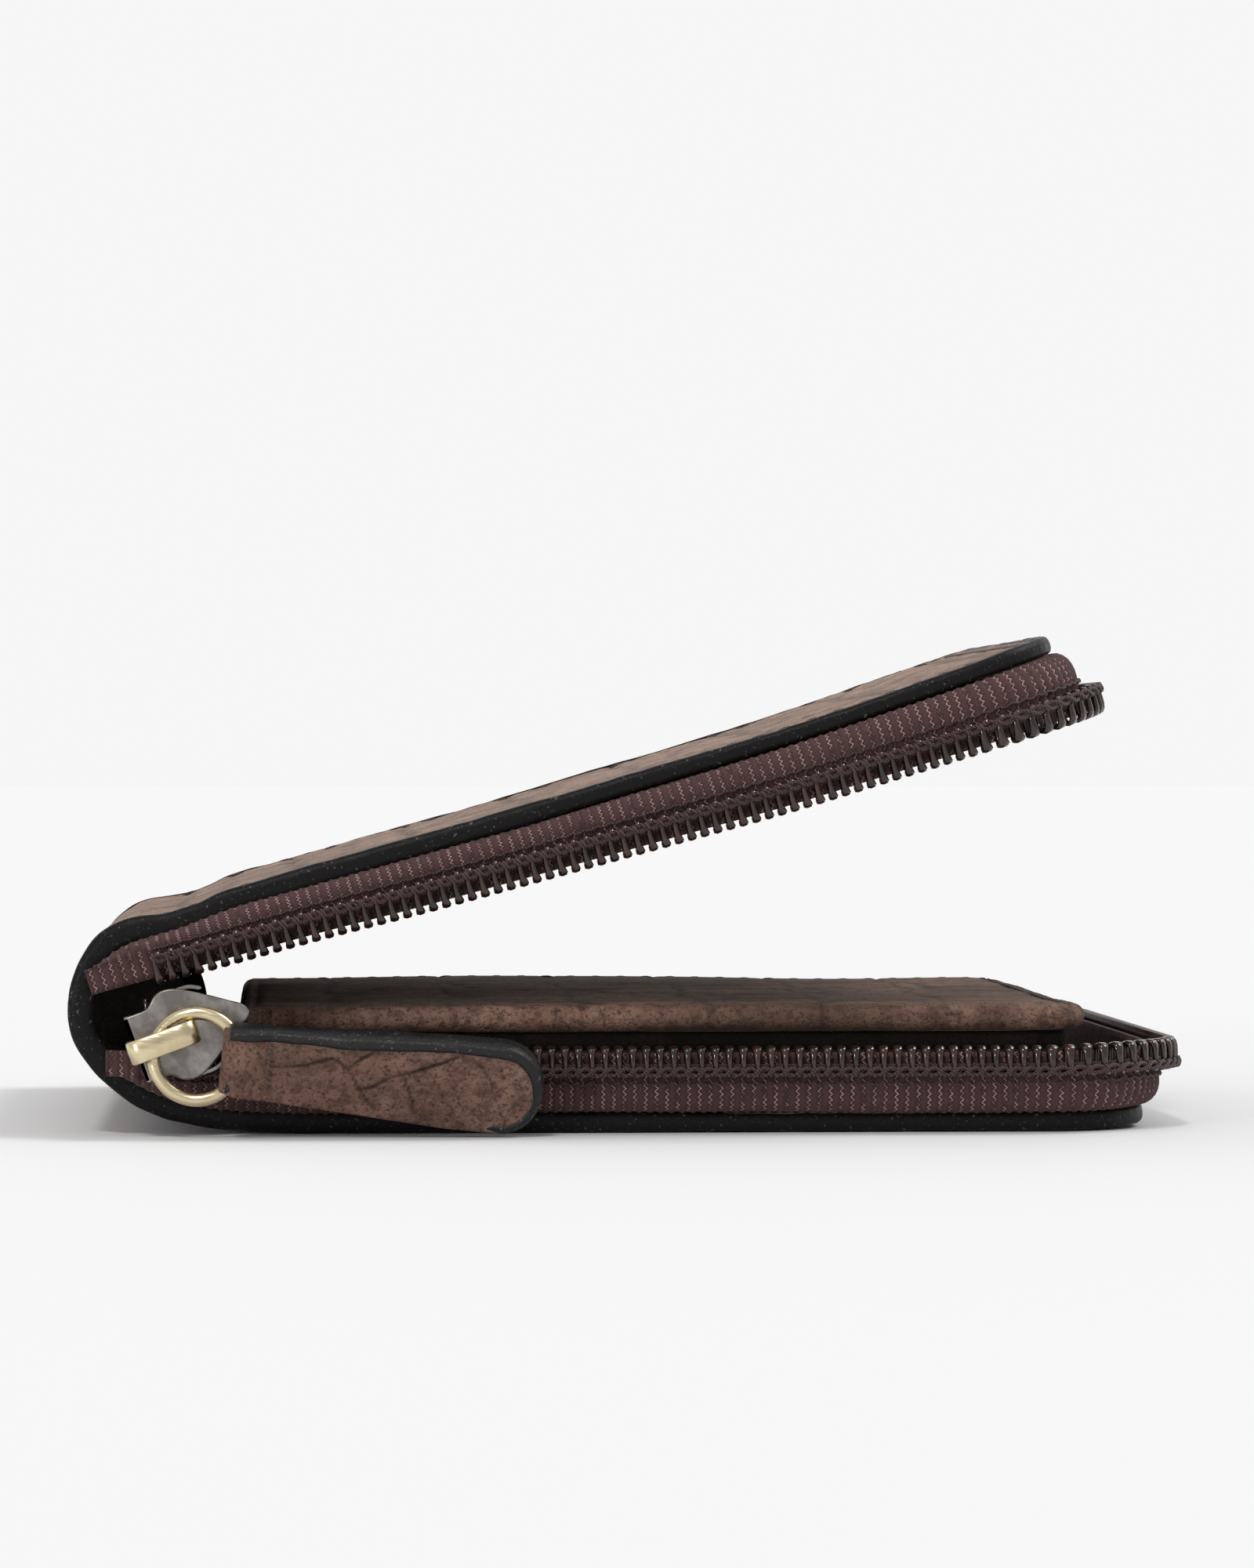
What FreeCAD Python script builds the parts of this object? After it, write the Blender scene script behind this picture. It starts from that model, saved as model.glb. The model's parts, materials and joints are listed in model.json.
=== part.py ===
"""Zip-around bifold wallet, standing open by a few degrees on its lower cover.

Frame: millimetres, +Z up, +X from the spine to the mouth end, +Y along the spine from the near
side (slider) to the far side. The origin is the middle of the flat underside of the lower cover.

Each half is drawn once, lying on its outer face with the stack of layers rising along +Z. The
lower half stays there. The upper half is the same drawing turned over onto the lower one and then
opened about the two fold axes. The spine and everything on it lean by half the opening angle.
"""
import FreeCAD, Part
import math
import os

import Sketcher
from FreeCAD import Placement, Rotation, Vector

DRIVING_SIZES = [
    # alias, millimetres or degrees, meaning
    ("flat_length", 97.0, "flat part of each cover, from the heel at the fold to the mouth end"),
    ("cover_width", 93.0, "width of a cover along the spine"),
    ("corner_radius", 11.0, "rounded corners at the mouth end"),
    ("closed_thickness", 20.2, "outer face to outer face with the halves parallel"),
    ("opening_angle", 17.5, "angle between the halves at rest"),
    ("leather", 1.15, "outer leather"),
    ("board", 0.75, "stiffener board in each cover"),
    ("fold_lining", 1.05, "lining where it follows a fold or the spine"),
    ("edge_paint", 0.4, "painted bead on the cut edges"),
    ("fold_rise", 3.6, "height of a fold axis above its cover's outer face"),
    ("fold_reach", 6.5, "distance of a fold axis behind the flat part"),
    ("fold_gap", 1.5, "cover's end to the fold axis"),
    ("spine_bulge", 3.3, "how far the spine bows out from the line between the fold axes"),
    ("spine_gap", 0.4, "spine's end to the fold axis"),
    ("lining_top", 3.0, "top of the lining above the outer face"),
    ("tape_inset", 5.5, "tape bonded inside the cover's edge"),
    ("tape_bulge", 2.05, "tape's outer face beyond the cover's edge"),
    ("tape_thick", 0.45, "zipper tape"),
    ("tape_top", 8.2, "top of the tape above the outer face"),
    ("coil_inner", 2.1, "inner side of the coil beyond the cover's edge"),
    ("coil_depth", 2.0, "coil, front to back"),
    ("coil_base", 5.55, "bottom of the coil above the outer face"),
    ("coil_top", 9.0, "heads of the coil above the outer face"),
    ("cord_side", 0.9, "filler cord inside the coil"),
    ("cord_rise", 0.7, "filler cord above the bottom of the coil"),
    ("stop_length", 1.85, "top stop along the coil"),
    ("stop_proud", 0.15, "stops standing out from the coil"),
    ("coil_overrun", 1.0, "coil's end behind the flat part"),
    ("tape_overrun", 2.5, "tape wall's end behind the flat part"),
    ("tape_mouth", 2.5, "where the tape wall starts to show in front of the heel"),
    ("thread", 0.2, "thread standing proud"),
    ("layer_gap", 0.05, "air between neighbouring layers"),
    ("board_setback", 0.5, "board's end in front of the heel"),
    ("lining_inset", 0.8, "lining inside the cover's edge"),
    ("panel_length", 87.2, "lower inner panel, fold side to mouth side"),
    ("panel_width", 87.0, "lower inner panel along the spine"),
    ("panel_corner", 8.0, "rounded corners of the panel"),
    ("panel_base", 10.1, "underside of the turned edge"),
    ("panel_top", 12.9, "top of the inner panel"),
    ("panel_leather", 1.1, "leather of the inner panel"),
    ("turned_edge", 0.3, "extra wall of the panel's turned edge"),
    ("leaf_thick", 1.85, "folded pocket leaf under the panel"),
    ("base_inset", 3.5, "pocket base inside the cover's edge"),
    ("base_setback", 4.0, "pocket base in front of the heel"),
    ("leaf_setback", 7.0, "first pocket leaf in front of the heel"),
    ("leaf_inset", 4.6, "first pocket leaf inside the cover's edge"),
    ("leaf_shift", 0.3, "each further pocket leaf inside the one before"),
    ("card_leaf", 0.85, "card leaf in the upper half"),
    ("card_setback", 6.0, "first card leaf in front of the heel"),
    ("card_inset", 3.2, "first card leaf inside the cover's edge"),
    ("card_shift", 0.4, "each further card leaf inside the one before"),
    ("card_step", 13.0, "each card leaf back from the one before"),
    ("stitch_inset", 2.4, "stitch row inside the cover's edge"),
    ("panel_stitch_inset", 1.9, "stitch row inside the panel's edge"),
    ("stitch_width", 0.5, "width of a stitch"),
    ("groove_width", 0.8, "width of the groove that takes the cover's stitch row"),
    ("stitch_depth", 0.16, "groove of the cover's stitch row"),
    ("stitch_pitch", 2.9, "distance from stitch to stitch"),
    ("stitch_length", 2.1, "visible length of a stitch"),
    ("chain_setback", 1.4, "meshed chain's end behind the coils' ends"),
    ("chain_length", 4.7, "meshed end of the chain"),
    ("chain_half", 3.0, "half width of the meshed chain"),
    ("bottom_stop", 1.6, "bottom stop along the chain, and its half width"),
    ("slider_half", 6.1, "half the length of the slider"),
    ("shoulder_half", 4.65, "half width over the slider's shoulders"),
    ("tail_half", 3.45, "half width of the slider's tail"),
    ("nose_half", 1.5, "half width of the slider's nose"),
    ("slider_tilt", 20.0, "nose up, at rest"),
    ("slider_x", -48.0, "slider's middle at rest"),
    ("slider_z", 10.75, "slider's middle at rest"),
    ("back_plate", 0.75, "slider plate inside the tape"),
    ("front_plate", 1.0, "slider plate in front of the coil"),
    ("plate_gap", 3.3, "between the slider's plates"),
    ("post_left", 2.6, "tail side of the post between the plates"),
    ("post_right", 4.6, "nose side of the post"),
    ("post_half", 0.7, "half width of the post"),
    ("merge", 0.1, "overlap that makes two blocks of one casting one solid"),
    ("bridge_gap", 3.0, "room under the bridge"),
    ("bridge_thick", 0.8, "bridge strap"),
    ("bridge_width", 2.4, "bridge strap"),
    ("bridge_overhang", 0.8, "bridge behind the slider's tail"),
    ("bridge_right", 0.5, "nose side of the bridge's foot"),
    ("ring_radius", 4.4, "pull ring, to the middle of the wire"),
    ("ring_wire", 0.6, "radius of the ring's wire"),
    ("ring_x", -3.8, "where the ring passes under the bridge, from the slider's middle"),
    ("ring_z", 0.4, "the same, across the slider"),
    ("ring_stand_off", 1.65, "middle of the ring's wire in front of the slider's face"),
    ("ring_slope", 22.0, "ring points down by this angle"),
    ("ring_lean", 4.0, "ring leans out from the slider by this angle"),
    ("pull_length", 30.5, "leather pull from the ring's wire to its tip"),
    ("pull_loop_half", 3.0, "half width of the pull at the ring"),
    ("pull_half", 4.3, "half width of the pull near its tip"),
    ("pull_thick", 2.5, "pull, both layers"),
    ("pull_shift", 0.25, "pull's middle plane nearer than the ring's middle"),
    ("eye_half", 1.05, "half height of the eye that the ring runs through"),
    ("loop_half_thick", 2.0, "half thickness of the pull round the eye"),
    ("rim_start", 4.8, "where the pull's painted edge starts"),
    ("seam_x", 5.1, "stitch line across the pull"),
    ("seam_pitch", 1.3, "from stitch to stitch across the pull"),
    ("seam_stitch", 0.95, "length of a stitch across the pull"),
    ("pull_slope", 5.8, "pull points down by this angle"),
    ("pull_yaw", 3.0, "pull leans in to the wallet by this angle"),
]

document = FreeCAD.newDocument("Wallet")
sizes = document.addObject("Spreadsheet::Sheet", "Sizes")
for row, (alias, amount, meaning) in enumerate(DRIVING_SIZES, start=1):
    sizes.set(f"A{row}", alias)
    sizes.set(f"B{row}", str(amount))
    sizes.setAlias(f"B{row}", alias)
    sizes.set(f"C{row}", meaning)
document.recompute()

nodes = []

# Often-used lengths, as expressions on the sheet.
HEEL_X = "-Sizes.flat_length / 2"
MOUTH_X = "Sizes.flat_length / 2"
HALF_WIDTH = "Sizes.cover_width / 2"
LAMINATE = "(Sizes.leather + Sizes.board)"
HEEL_THICK = "(Sizes.leather + Sizes.fold_lining)"
# The heel is an arc that leaves the flat part level and passes through the fold axis.
HEEL_RISE = "(Sizes.fold_rise - (Sizes.leather + Sizes.fold_lining) / 2)"
HEEL_RADIUS = f"((Sizes.fold_reach ^ 2 + {HEEL_RISE} ^ 2) / (2 * {HEEL_RISE}))"
FOLD_SPAN = "(Sizes.closed_thickness - 2 * Sizes.fold_rise)"
SPINE_RADIUS = f"((({FOLD_SPAN} / 2) ^ 2 + Sizes.spine_bulge ^ 2) / (2 * Sizes.spine_bulge))"
COIL_END = "(-Sizes.flat_length / 2 - Sizes.coil_overrun)"
COIL_OUTER = "(Sizes.coil_inner + Sizes.coil_depth)"


def value(expression):
    """Number that an expression gives on the sheet."""
    return float(sizes.evalExpression(expression))


# --- where the moving groups stand at rest -------------------------------------------------


def opened(point, angle):
    """Placement that opens by an angle about an axis along -Y through a point."""
    return Placement(point, Rotation(Vector(0, -1, 0), angle)) * Placement(-point, Rotation())


FOLD_X = -sizes.flat_length / 2 - sizes.fold_reach
LOWER_FOLD = Vector(FOLD_X, 0, sizes.fold_rise)
UPPER_FOLD_SHUT = Vector(FOLD_X, 0, sizes.closed_thickness - sizes.fold_rise)
SPINE_PLACE = opened(LOWER_FOLD, sizes.opening_angle / 2)
TURNED_OVER = Placement(Vector(0, 0, sizes.closed_thickness), Rotation(Vector(1, 0, 0), 180))
UPPER_PLACE = SPINE_PLACE * opened(UPPER_FOLD_SHUT, sizes.opening_angle / 2) * TURNED_OVER
HALF_PLACES = {"lower": Placement(), "upper": UPPER_PLACE}
SLIDER_PLACE = Placement(
    Vector(sizes.slider_x, 0, sizes.slider_z), Rotation(Vector(0, -1, 0), sizes.slider_tilt)
)


# --- drawing helpers -----------------------------------------------------------------------


def new_body(label, place=Placement(), keep=True):
    """Body with its own origin planes; kept bodies are written as nodes."""
    body = document.addObject("PartDesign::Body", label)
    body.Label = label
    body.Placement = place
    if keep:
        nodes.append(body)
    return body


def new_sketch(body, role, offset=None):
    """Sketch on one of the body's own origin planes, moved along its normal by an expression."""
    sketch = body.newObject("Sketcher::SketchObject", f"{body.Name}_sketch")
    planes = [item for item in body.Origin.OriginFeatures if item.Role == role]
    sketch.AttachmentSupport = [(planes[0], "")]
    sketch.MapMode = "FlatFace"
    if offset:
        sketch.setExpression("AttachmentOffset.Base.z", offset)
    return sketch


def bind(sketch, constraint, name, expression):
    """Add a dimension and tie it to the sheet."""
    index = sketch.addConstraint(constraint)
    sketch.renameConstraint(index, name)
    sketch.setExpression(f"Constraints.{name}", expression)


def mouth_outline(sketch, left, right, half_width, radius):
    """Rectangle whose two corners at the mouth end are rounded."""
    x0, x1, half, bend = (value(text) for text in (left, right, half_width, radius))
    up = Vector(0, 0, 1)

    def line(x_a, y_a, x_b, y_b):
        return sketch.addGeometry(Part.LineSegment(Vector(x_a, y_a, 0), Vector(x_b, y_b, 0)))

    def corner(y, start):
        circle = Part.Circle(Vector(x1 - bend, y, 0), up, bend)
        return sketch.addGeometry(Part.ArcOfCircle(circle, start, start + math.pi / 2))

    near = line(x0, -half, x1 - bend, -half)
    near_corner = corner(-half + bend, -math.pi / 2)
    mouth = line(x1, -half + bend, x1, half - bend)
    far_corner = corner(half - bend, 0)
    far = line(x1 - bend, half, x0, half)
    spine = line(x0, half, x0, -half)
    rule = Sketcher.Constraint
    sketch.addConstraint([
        rule("Tangent", near, 2, near_corner, 1),
        rule("Tangent", near_corner, 2, mouth, 1),
        rule("Tangent", mouth, 2, far_corner, 1),
        rule("Tangent", far_corner, 2, far, 1),
        rule("Coincident", far, 2, spine, 1),
        rule("Coincident", spine, 2, near, 1),
        rule("Horizontal", near),
        rule("Horizontal", far),
        rule("Vertical", mouth),
        rule("Equal", near_corner, far_corner),
        rule("Symmetric", far, 2, near, 1, -1),
    ])
    bind(sketch, rule("DistanceX", -1, 1, spine, 2, x0), "left", left)
    bind(sketch, rule("DistanceX", -1, 1, mouth, 1, x1), "right", right)
    bind(sketch, rule("DistanceY", -1, 1, far, 2, half), "half_width", half_width)
    bind(sketch, rule("Radius", near_corner, bend), "bend", radius)


def polygon(sketch, corners):
    """Closed outline through corners given as pairs of expressions."""
    points = [Vector(value(x), value(y), 0) for x, y in corners]
    rule = Sketcher.Constraint
    edges = [
        sketch.addGeometry(Part.LineSegment(points[i], points[(i + 1) % len(points)]))
        for i in range(len(points))
    ]
    for i, edge in enumerate(edges):
        sketch.addConstraint(rule("Coincident", edge, 2, edges[(i + 1) % len(edges)], 1))
    for i, (edge, (x, y)) in enumerate(zip(edges, corners)):
        bind(sketch, rule("DistanceX", -1, 1, edge, 1, points[i].x), f"x_{i}", x)
        bind(sketch, rule("DistanceY", -1, 1, edge, 1, points[i].y), f"y_{i}", y)


def arc_band(sketch, middle, inner, outer, first, last):
    """Curved strip between two radii, from the first angle to the last, in degrees."""
    mid_x, mid_y, low, high, start, end = (
        value(text) for text in (*middle, inner, outer, first, last)
    )
    centre = Vector(mid_x, mid_y, 0)
    up = Vector(0, 0, 1)
    span = (math.radians(start), math.radians(end))
    small = sketch.addGeometry(Part.ArcOfCircle(Part.Circle(centre, up, low), *span))
    large = sketch.addGeometry(Part.ArcOfCircle(Part.Circle(centre, up, high), *span))

    def spoke(angle):
        ray = Vector(math.cos(angle), math.sin(angle), 0)
        return sketch.addGeometry(Part.LineSegment(centre + ray * low, centre + ray * high))

    spokes = [spoke(angle) for angle in span]
    rule = Sketcher.Constraint
    sketch.addConstraint(rule("Coincident", small, 3, large, 3))
    for end_of_arc, ray in zip((1, 2), spokes):
        sketch.addConstraint(rule("Coincident", small, end_of_arc, ray, 1))
        sketch.addConstraint(rule("Coincident", large, end_of_arc, ray, 2))
        sketch.addConstraint(rule("PointOnObject", small, 3, ray))
    bind(sketch, rule("DistanceX", -1, 1, small, 3, mid_x), "middle_x", middle[0])
    bind(sketch, rule("DistanceY", -1, 1, small, 3, mid_y), "middle_y", middle[1])
    bind(sketch, rule("Radius", small, low), "inner", inner)
    bind(sketch, rule("Radius", large, high), "outer", outer)
    for name, ray, angle, text in zip(("first", "last"), spokes, span, (first, last)):
        bind(sketch, rule("Angle", ray, angle), name, f"({text}) * 1 deg")


def pad(body, sketch, length, symmetric=False):
    feature = body.newObject("PartDesign::Pad", f"{body.Name}_pad")
    feature.Profile = sketch
    feature.SideType = "Symmetric" if symmetric else "One side"
    feature.setExpression("Length", length)
    return feature


def pocket(body, sketch, length=None, upwards=False, symmetric=False):
    """Cut down from the sketch, or up from it; through everything when no length is given."""
    feature = body.newObject("PartDesign::Pocket", f"{body.Name}_pocket")
    feature.Profile = sketch
    feature.Reversed = upwards
    feature.SideType = "Symmetric" if symmetric else "One side"
    if length:
        feature.setExpression("Length", length)
    else:
        feature.Type = "ThroughAll"
    return feature


def cut(label, base, tool):
    """Boolean difference of two drawings, kept as a node."""
    result = document.addObject("Part::Cut", label)
    result.Label = label
    result.Base = base
    result.Tool = tool
    nodes.append(result)
    return result


# --- shapes that both halves share ---------------------------------------------------------


def beyond_edge(offset, left):
    """Arguments of a mouth outline that runs a distance outside the cover's edge."""
    return (
        left,
        f"{MOUTH_X} + {offset}",
        f"{HALF_WIDTH} + {offset}",
        f"Sizes.corner_radius + {offset}",
    )


def slab(body, offset, left, bottom, height):
    """Plate parallel to the cover, its outline a distance outside the cover's edge."""
    sketch = new_sketch(body, "XY_Plane", bottom)
    mouth_outline(sketch, *beyond_edge(offset, left))
    return pad(body, sketch, height)


def clear_inside(body, offset, bottom, left="-Sizes.flat_length"):
    """Remove everything above a level inside an outline; it is open towards the spine."""
    sketch = new_sketch(body, "XY_Plane", bottom)
    mouth_outline(sketch, *beyond_edge(offset, left))
    return pocket(body, sketch, "Sizes.closed_thickness", upwards=True)


def heel(body, low, high, width):
    """Curved strip from the flat part up to the fold, between two heights above the outer face."""
    sketch = new_sketch(body, "XZ_Plane")
    radius_from = f"{HEEL_RADIUS} + {HEEL_THICK} / 2"
    reach = f"asin(Sizes.fold_reach / {HEEL_RADIUS}) * 1 / 1 deg"
    gap = f"Sizes.fold_gap / {HEEL_RADIUS} * 180 / pi"
    arc_band(
        sketch,
        (HEEL_X, f"{HEEL_RADIUS} + {HEEL_THICK} / 2"),
        f"{radius_from} - {high}",
        f"{radius_from} - {low}",
        f"-90 - {reach} + {gap}",
        "-90",
    )
    return pad(body, sketch, width, symmetric=True)


def make_cover_leather(half):
    """Outer leather with a shallow groove that takes the stitch row."""
    hide = new_body(f"{half}_cover_hide", HALF_PLACES[half], keep=False)
    slab(hide, "0", HEEL_X, "0", "Sizes.leather")
    heel(hide, "0", "Sizes.leather", "Sizes.cover_width")
    groove = new_body(f"{half}_cover_groove", HALF_PLACES[half], keep=False)
    outside = "(Sizes.groove_width / 2 - Sizes.stitch_inset)"
    inside = "(-Sizes.groove_width / 2 - Sizes.stitch_inset)"
    slab(groove, outside, HEEL_X, "-1", "1 + Sizes.stitch_depth")
    clear_inside(groove, inside, "-2")
    cut(f"{half}_cover_leather", hide, groove)


def make_stiffener_board(half):
    body = new_body(f"{half}_stiffener_board", HALF_PLACES[half])
    slab(body, "0", f"{HEEL_X} + Sizes.board_setback", "Sizes.leather", "Sizes.board")


def edge_blank(label, half, offset):
    """Leather and board as one block, with its heel, the outline a distance outside the edge."""
    body = new_body(label, HALF_PLACES[half], keep=False)
    slab(body, offset, HEEL_X, "0", LAMINATE)
    heel(body, "0", HEEL_THICK, f"Sizes.cover_width + 2 * {offset}")
    return body


def make_edge_paint(half):
    outer = edge_blank(f"{half}_edge_blank", half, "Sizes.edge_paint")
    inner = edge_blank(f"{half}_edge_core", half, "0")
    cut(f"{half}_edge_paint", outer, inner)


def make_lining(half):
    body = new_body(f"{half}_lining", HALF_PLACES[half])
    inside_tape = "(-Sizes.tape_inset - 2 * Sizes.layer_gap)"
    tape_up = f"({LAMINATE} + Sizes.tape_thick)"
    slab(body, inside_tape, HEEL_X, LAMINATE, f"Sizes.lining_top - {LAMINATE}")
    slab(body, "(-Sizes.lining_inset)", HEEL_X, tape_up, f"Sizes.lining_top - {tape_up}")
    heel(body, "Sizes.leather", HEEL_THICK, "Sizes.cover_width - 2 * Sizes.lining_inset")


def make_zipper_tape(half):
    """Bonded flange inside the cover's edge and a wall that stands just outside it."""
    body = new_body(f"{half}_zipper_tape", HALF_PLACES[half])
    wall_inner = "(Sizes.tape_bulge - Sizes.tape_thick)"
    wall_end = f"{HEEL_X} - Sizes.tape_overrun"
    slab(body, "Sizes.tape_bulge", wall_end, LAMINATE, f"Sizes.tape_top - {LAMINATE}")
    clear_inside(body, wall_inner, f"{LAMINATE} + Sizes.tape_thick")
    clear_inside(body, "(-Sizes.tape_inset)", "0")
    end = new_sketch(body, "XY_Plane")
    near, back = f"{HALF_WIDTH} + {wall_inner}", "-Sizes.flat_length"
    front = f"{HEEL_X} + Sizes.tape_mouth"
    polygon(end, [(back, f"-({near})"), (front, f"-({near})"), (front, near), (back, near)])
    pocket(body, end, "Sizes.closed_thickness", upwards=True)


def coil_band(label, half, inner, outer, bottom, top, keep=True):
    """Straight-sided band that runs round the three open sides of a half."""
    body = new_body(label, HALF_PLACES[half], keep)
    slab(body, outer, COIL_END, bottom, f"{top} - {bottom}")
    clear_inside(body, inner, "0")
    return body


def make_zipper_coil(half):
    """Nylon coil as a band with a channel for its filler cord, the cord, and the chain stitch."""
    middle = "(Sizes.coil_inner + Sizes.coil_depth / 2)"
    cord_low = "(Sizes.coil_base + Sizes.cord_rise)"
    slack = "(Sizes.layer_gap / 2)"

    def cord_band(label, play, keep):
        return coil_band(
            label,
            half,
            f"({middle} - Sizes.cord_side / 2 - {play})",
            f"({middle} + Sizes.cord_side / 2 + {play})",
            f"({cord_low} - {play})",
            f"({cord_low} + Sizes.cord_side + {play})",
            keep,
        )

    blank = coil_band(
        f"{half}_coil_blank", half, "Sizes.coil_inner", COIL_OUTER,
        "Sizes.coil_base", "Sizes.coil_top", keep=False,
    )
    channel = cord_band(f"{half}_coil_channel", slack, keep=False)
    cut(f"{half}_zipper_coil", blank, channel)
    cord_band(f"{half}_coil_cord", 0, keep=True)
    coil_band(
        f"{half}_coil_stitching", half, COIL_OUTER, f"({COIL_OUTER} + Sizes.thread)",
        "(Sizes.coil_base + 0.15)", "(Sizes.coil_base + 1.35)",
    )


def make_top_stop(half):
    """Small clip at the far end of the coil; the upper half is turned over, so its far is -Y."""
    body = new_body(f"{half}_top_stop", HALF_PLACES[half])
    away = 1 if half == "lower" else -1
    sketch = new_sketch(body, "XY_Plane", "Sizes.coil_base + 0.6")
    low = f"{away} * ({HALF_WIDTH} + Sizes.coil_inner - Sizes.layer_gap)"
    high = f"{away} * ({HALF_WIDTH} + {COIL_OUTER} + Sizes.stop_proud)"
    front = f"{COIL_END} - Sizes.layer_gap"
    back = f"{front} - Sizes.stop_length"
    polygon(sketch, [(back, low), (front, low), (front, high), (back, high)])
    pad(body, sketch, "Sizes.coil_top - Sizes.coil_base - 0.4")


# --- stitches ------------------------------------------------------------------------------


def stitch_places(inset, left, pitch):
    """Points and headings along the three open sides, a distance inside the cover's edge."""
    right = sizes.flat_length / 2 - inset
    half = sizes.cover_width / 2 - inset
    bend = sizes.corner_radius - inset
    straight = right - bend - left
    across = 2 * (half - bend)
    quarter = bend * math.pi / 2
    total = 2 * straight + across + 2 * quarter
    count = int(total // pitch)
    for i in range(count + 1):
        along = (i + 0.5) * total / (count + 1)
        if along < straight:
            yield left + along, -half, 0
            continue
        along -= straight
        if along < quarter:
            turn = along / bend
            yield right - bend + bend * math.sin(turn), -half + bend - bend * math.cos(turn), turn
            continue
        along -= quarter
        if along < across:
            yield right, -half + bend + along, math.pi / 2
            continue
        along -= across
        if along < quarter:
            turn = along / bend
            x = right - bend + bend * math.cos(turn)
            yield x, half - bend + bend * math.sin(turn), math.pi / 2 + turn
            continue
        along -= quarter
        yield right - bend - along, half, math.pi


def make_stitch_row(label, half, inset, left, bottom, height):
    """Row of separate stitches as one node, each a short flat bar of thread."""
    bars = []
    for x, y, turn in stitch_places(inset, left, sizes.stitch_pitch):
        corner = Vector(-sizes.stitch_length / 2, -sizes.stitch_width / 2, 0)
        bar = Part.makeBox(sizes.stitch_length, sizes.stitch_width, height, corner)
        bar.Placement = Placement(Vector(x, y, bottom), Rotation(Vector(0, 0, 1), math.degrees(turn)))
        bars.append(bar)
    row = document.addObject("Part::Feature", label)
    row.Label = label
    row.Shape = Part.makeCompound(bars)
    row.Placement = HALF_PLACES[half]
    nodes.append(row)


# --- what each half holds ------------------------------------------------------------------


def make_cover_stitching(half):
    left = -sizes.flat_length / 2 + 1
    label = f"{half}_cover_stitching"
    make_stitch_row(label, half, sizes.stitch_inset, left, 0.02, sizes.stitch_depth - 0.04)


def panel_outline(sketch, inset):
    """Outline of the lower inner panel, drawn in by a distance."""
    mouth_outline(
        sketch,
        f"-Sizes.panel_length / 2 + {inset}",
        f"Sizes.panel_length / 2 - {inset}",
        f"Sizes.panel_width / 2 - {inset}",
        f"Sizes.panel_corner - {inset}",
    )


def make_inner_panel():
    """Leather tray with turned edges, upside down over its board."""
    body = new_body("lower_inner_panel")
    outline = new_sketch(body, "XY_Plane", "Sizes.panel_base")
    panel_outline(outline, "0")
    pad(body, outline, "Sizes.panel_top - Sizes.panel_base")
    hollow = new_sketch(body, "XY_Plane", "Sizes.panel_base")
    wall = "(Sizes.panel_leather + Sizes.turned_edge)"
    panel_outline(hollow, wall)
    inside = "Sizes.panel_top - Sizes.panel_base - Sizes.panel_leather"
    pocket(body, hollow, inside, upwards=True)

    board = new_body("lower_panel_board")
    filling = new_sketch(board, "XY_Plane", "Sizes.panel_base")
    panel_outline(filling, f"({wall} + Sizes.layer_gap)")
    pad(board, filling, inside)


def make_panel_stitching():
    inset = sizes.cover_width / 2 - sizes.panel_width / 2 + sizes.panel_stitch_inset
    left = -sizes.panel_length / 2 + 2
    make_stitch_row("lower_panel_stitching", "lower", inset, left, sizes.panel_top, 0.15)


def make_pocket_leaves():
    """Pocket base on the lining and three folded leaves that carry the inner panel."""
    base = new_body("lower_pocket_base")
    top = "(Sizes.panel_base - 3 * (Sizes.leaf_thick + Sizes.layer_gap))"
    thick = f"{top} - Sizes.lining_top - Sizes.layer_gap"
    slab(base, "(-Sizes.base_inset)", f"{HEEL_X} + Sizes.base_setback", "Sizes.lining_top", thick)
    for i in range(3):
        leaf = new_body(f"lower_pocket_leaf_{i + 1}")
        bottom = f"{top} + {i} * (Sizes.leaf_thick + Sizes.layer_gap)"
        edge = f"(-Sizes.leaf_inset - {i} * Sizes.leaf_shift)"
        back = f"{HEEL_X} + Sizes.leaf_setback - {i}"
        slab(leaf, edge, back, bottom, "Sizes.leaf_thick")


def make_card_leaves():
    """Three card leaves in the upper half, each stepping back from the one under it."""
    for i in range(3):
        leaf = new_body(f"upper_card_leaf_{i + 1}", HALF_PLACES["upper"])
        bottom = f"Sizes.lining_top + {i} * (Sizes.card_leaf + Sizes.layer_gap)"
        edge = f"(-Sizes.card_inset - {i} * Sizes.card_shift)"
        back = f"{HEEL_X} + Sizes.card_setback + {i} * Sizes.card_step"
        slab(leaf, edge, back, bottom, "Sizes.card_leaf")


# --- spine ---------------------------------------------------------------------------------


def spine_strip(body, low, high, width):
    """Bowed strip between two depths in from the spine's outer face."""
    sketch = new_sketch(body, "XZ_Plane")
    outer = f"({SPINE_RADIUS} + {HEEL_THICK} / 2)"
    reach = f"asin({FOLD_SPAN} / 2 / {SPINE_RADIUS}) * 1 / 1 deg"
    gap = f"Sizes.spine_gap / {SPINE_RADIUS} * 180 / pi"
    middle_x = f"{HEEL_X} - Sizes.fold_reach - Sizes.spine_bulge + {SPINE_RADIUS}"
    arc_band(
        sketch,
        (middle_x, "Sizes.closed_thickness / 2"),
        f"{outer} - {high}",
        f"{outer} - {low}",
        f"180 - {reach} + {gap}",
        f"180 + {reach} - {gap}",
    )
    return pad(body, sketch, width, symmetric=True)


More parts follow.
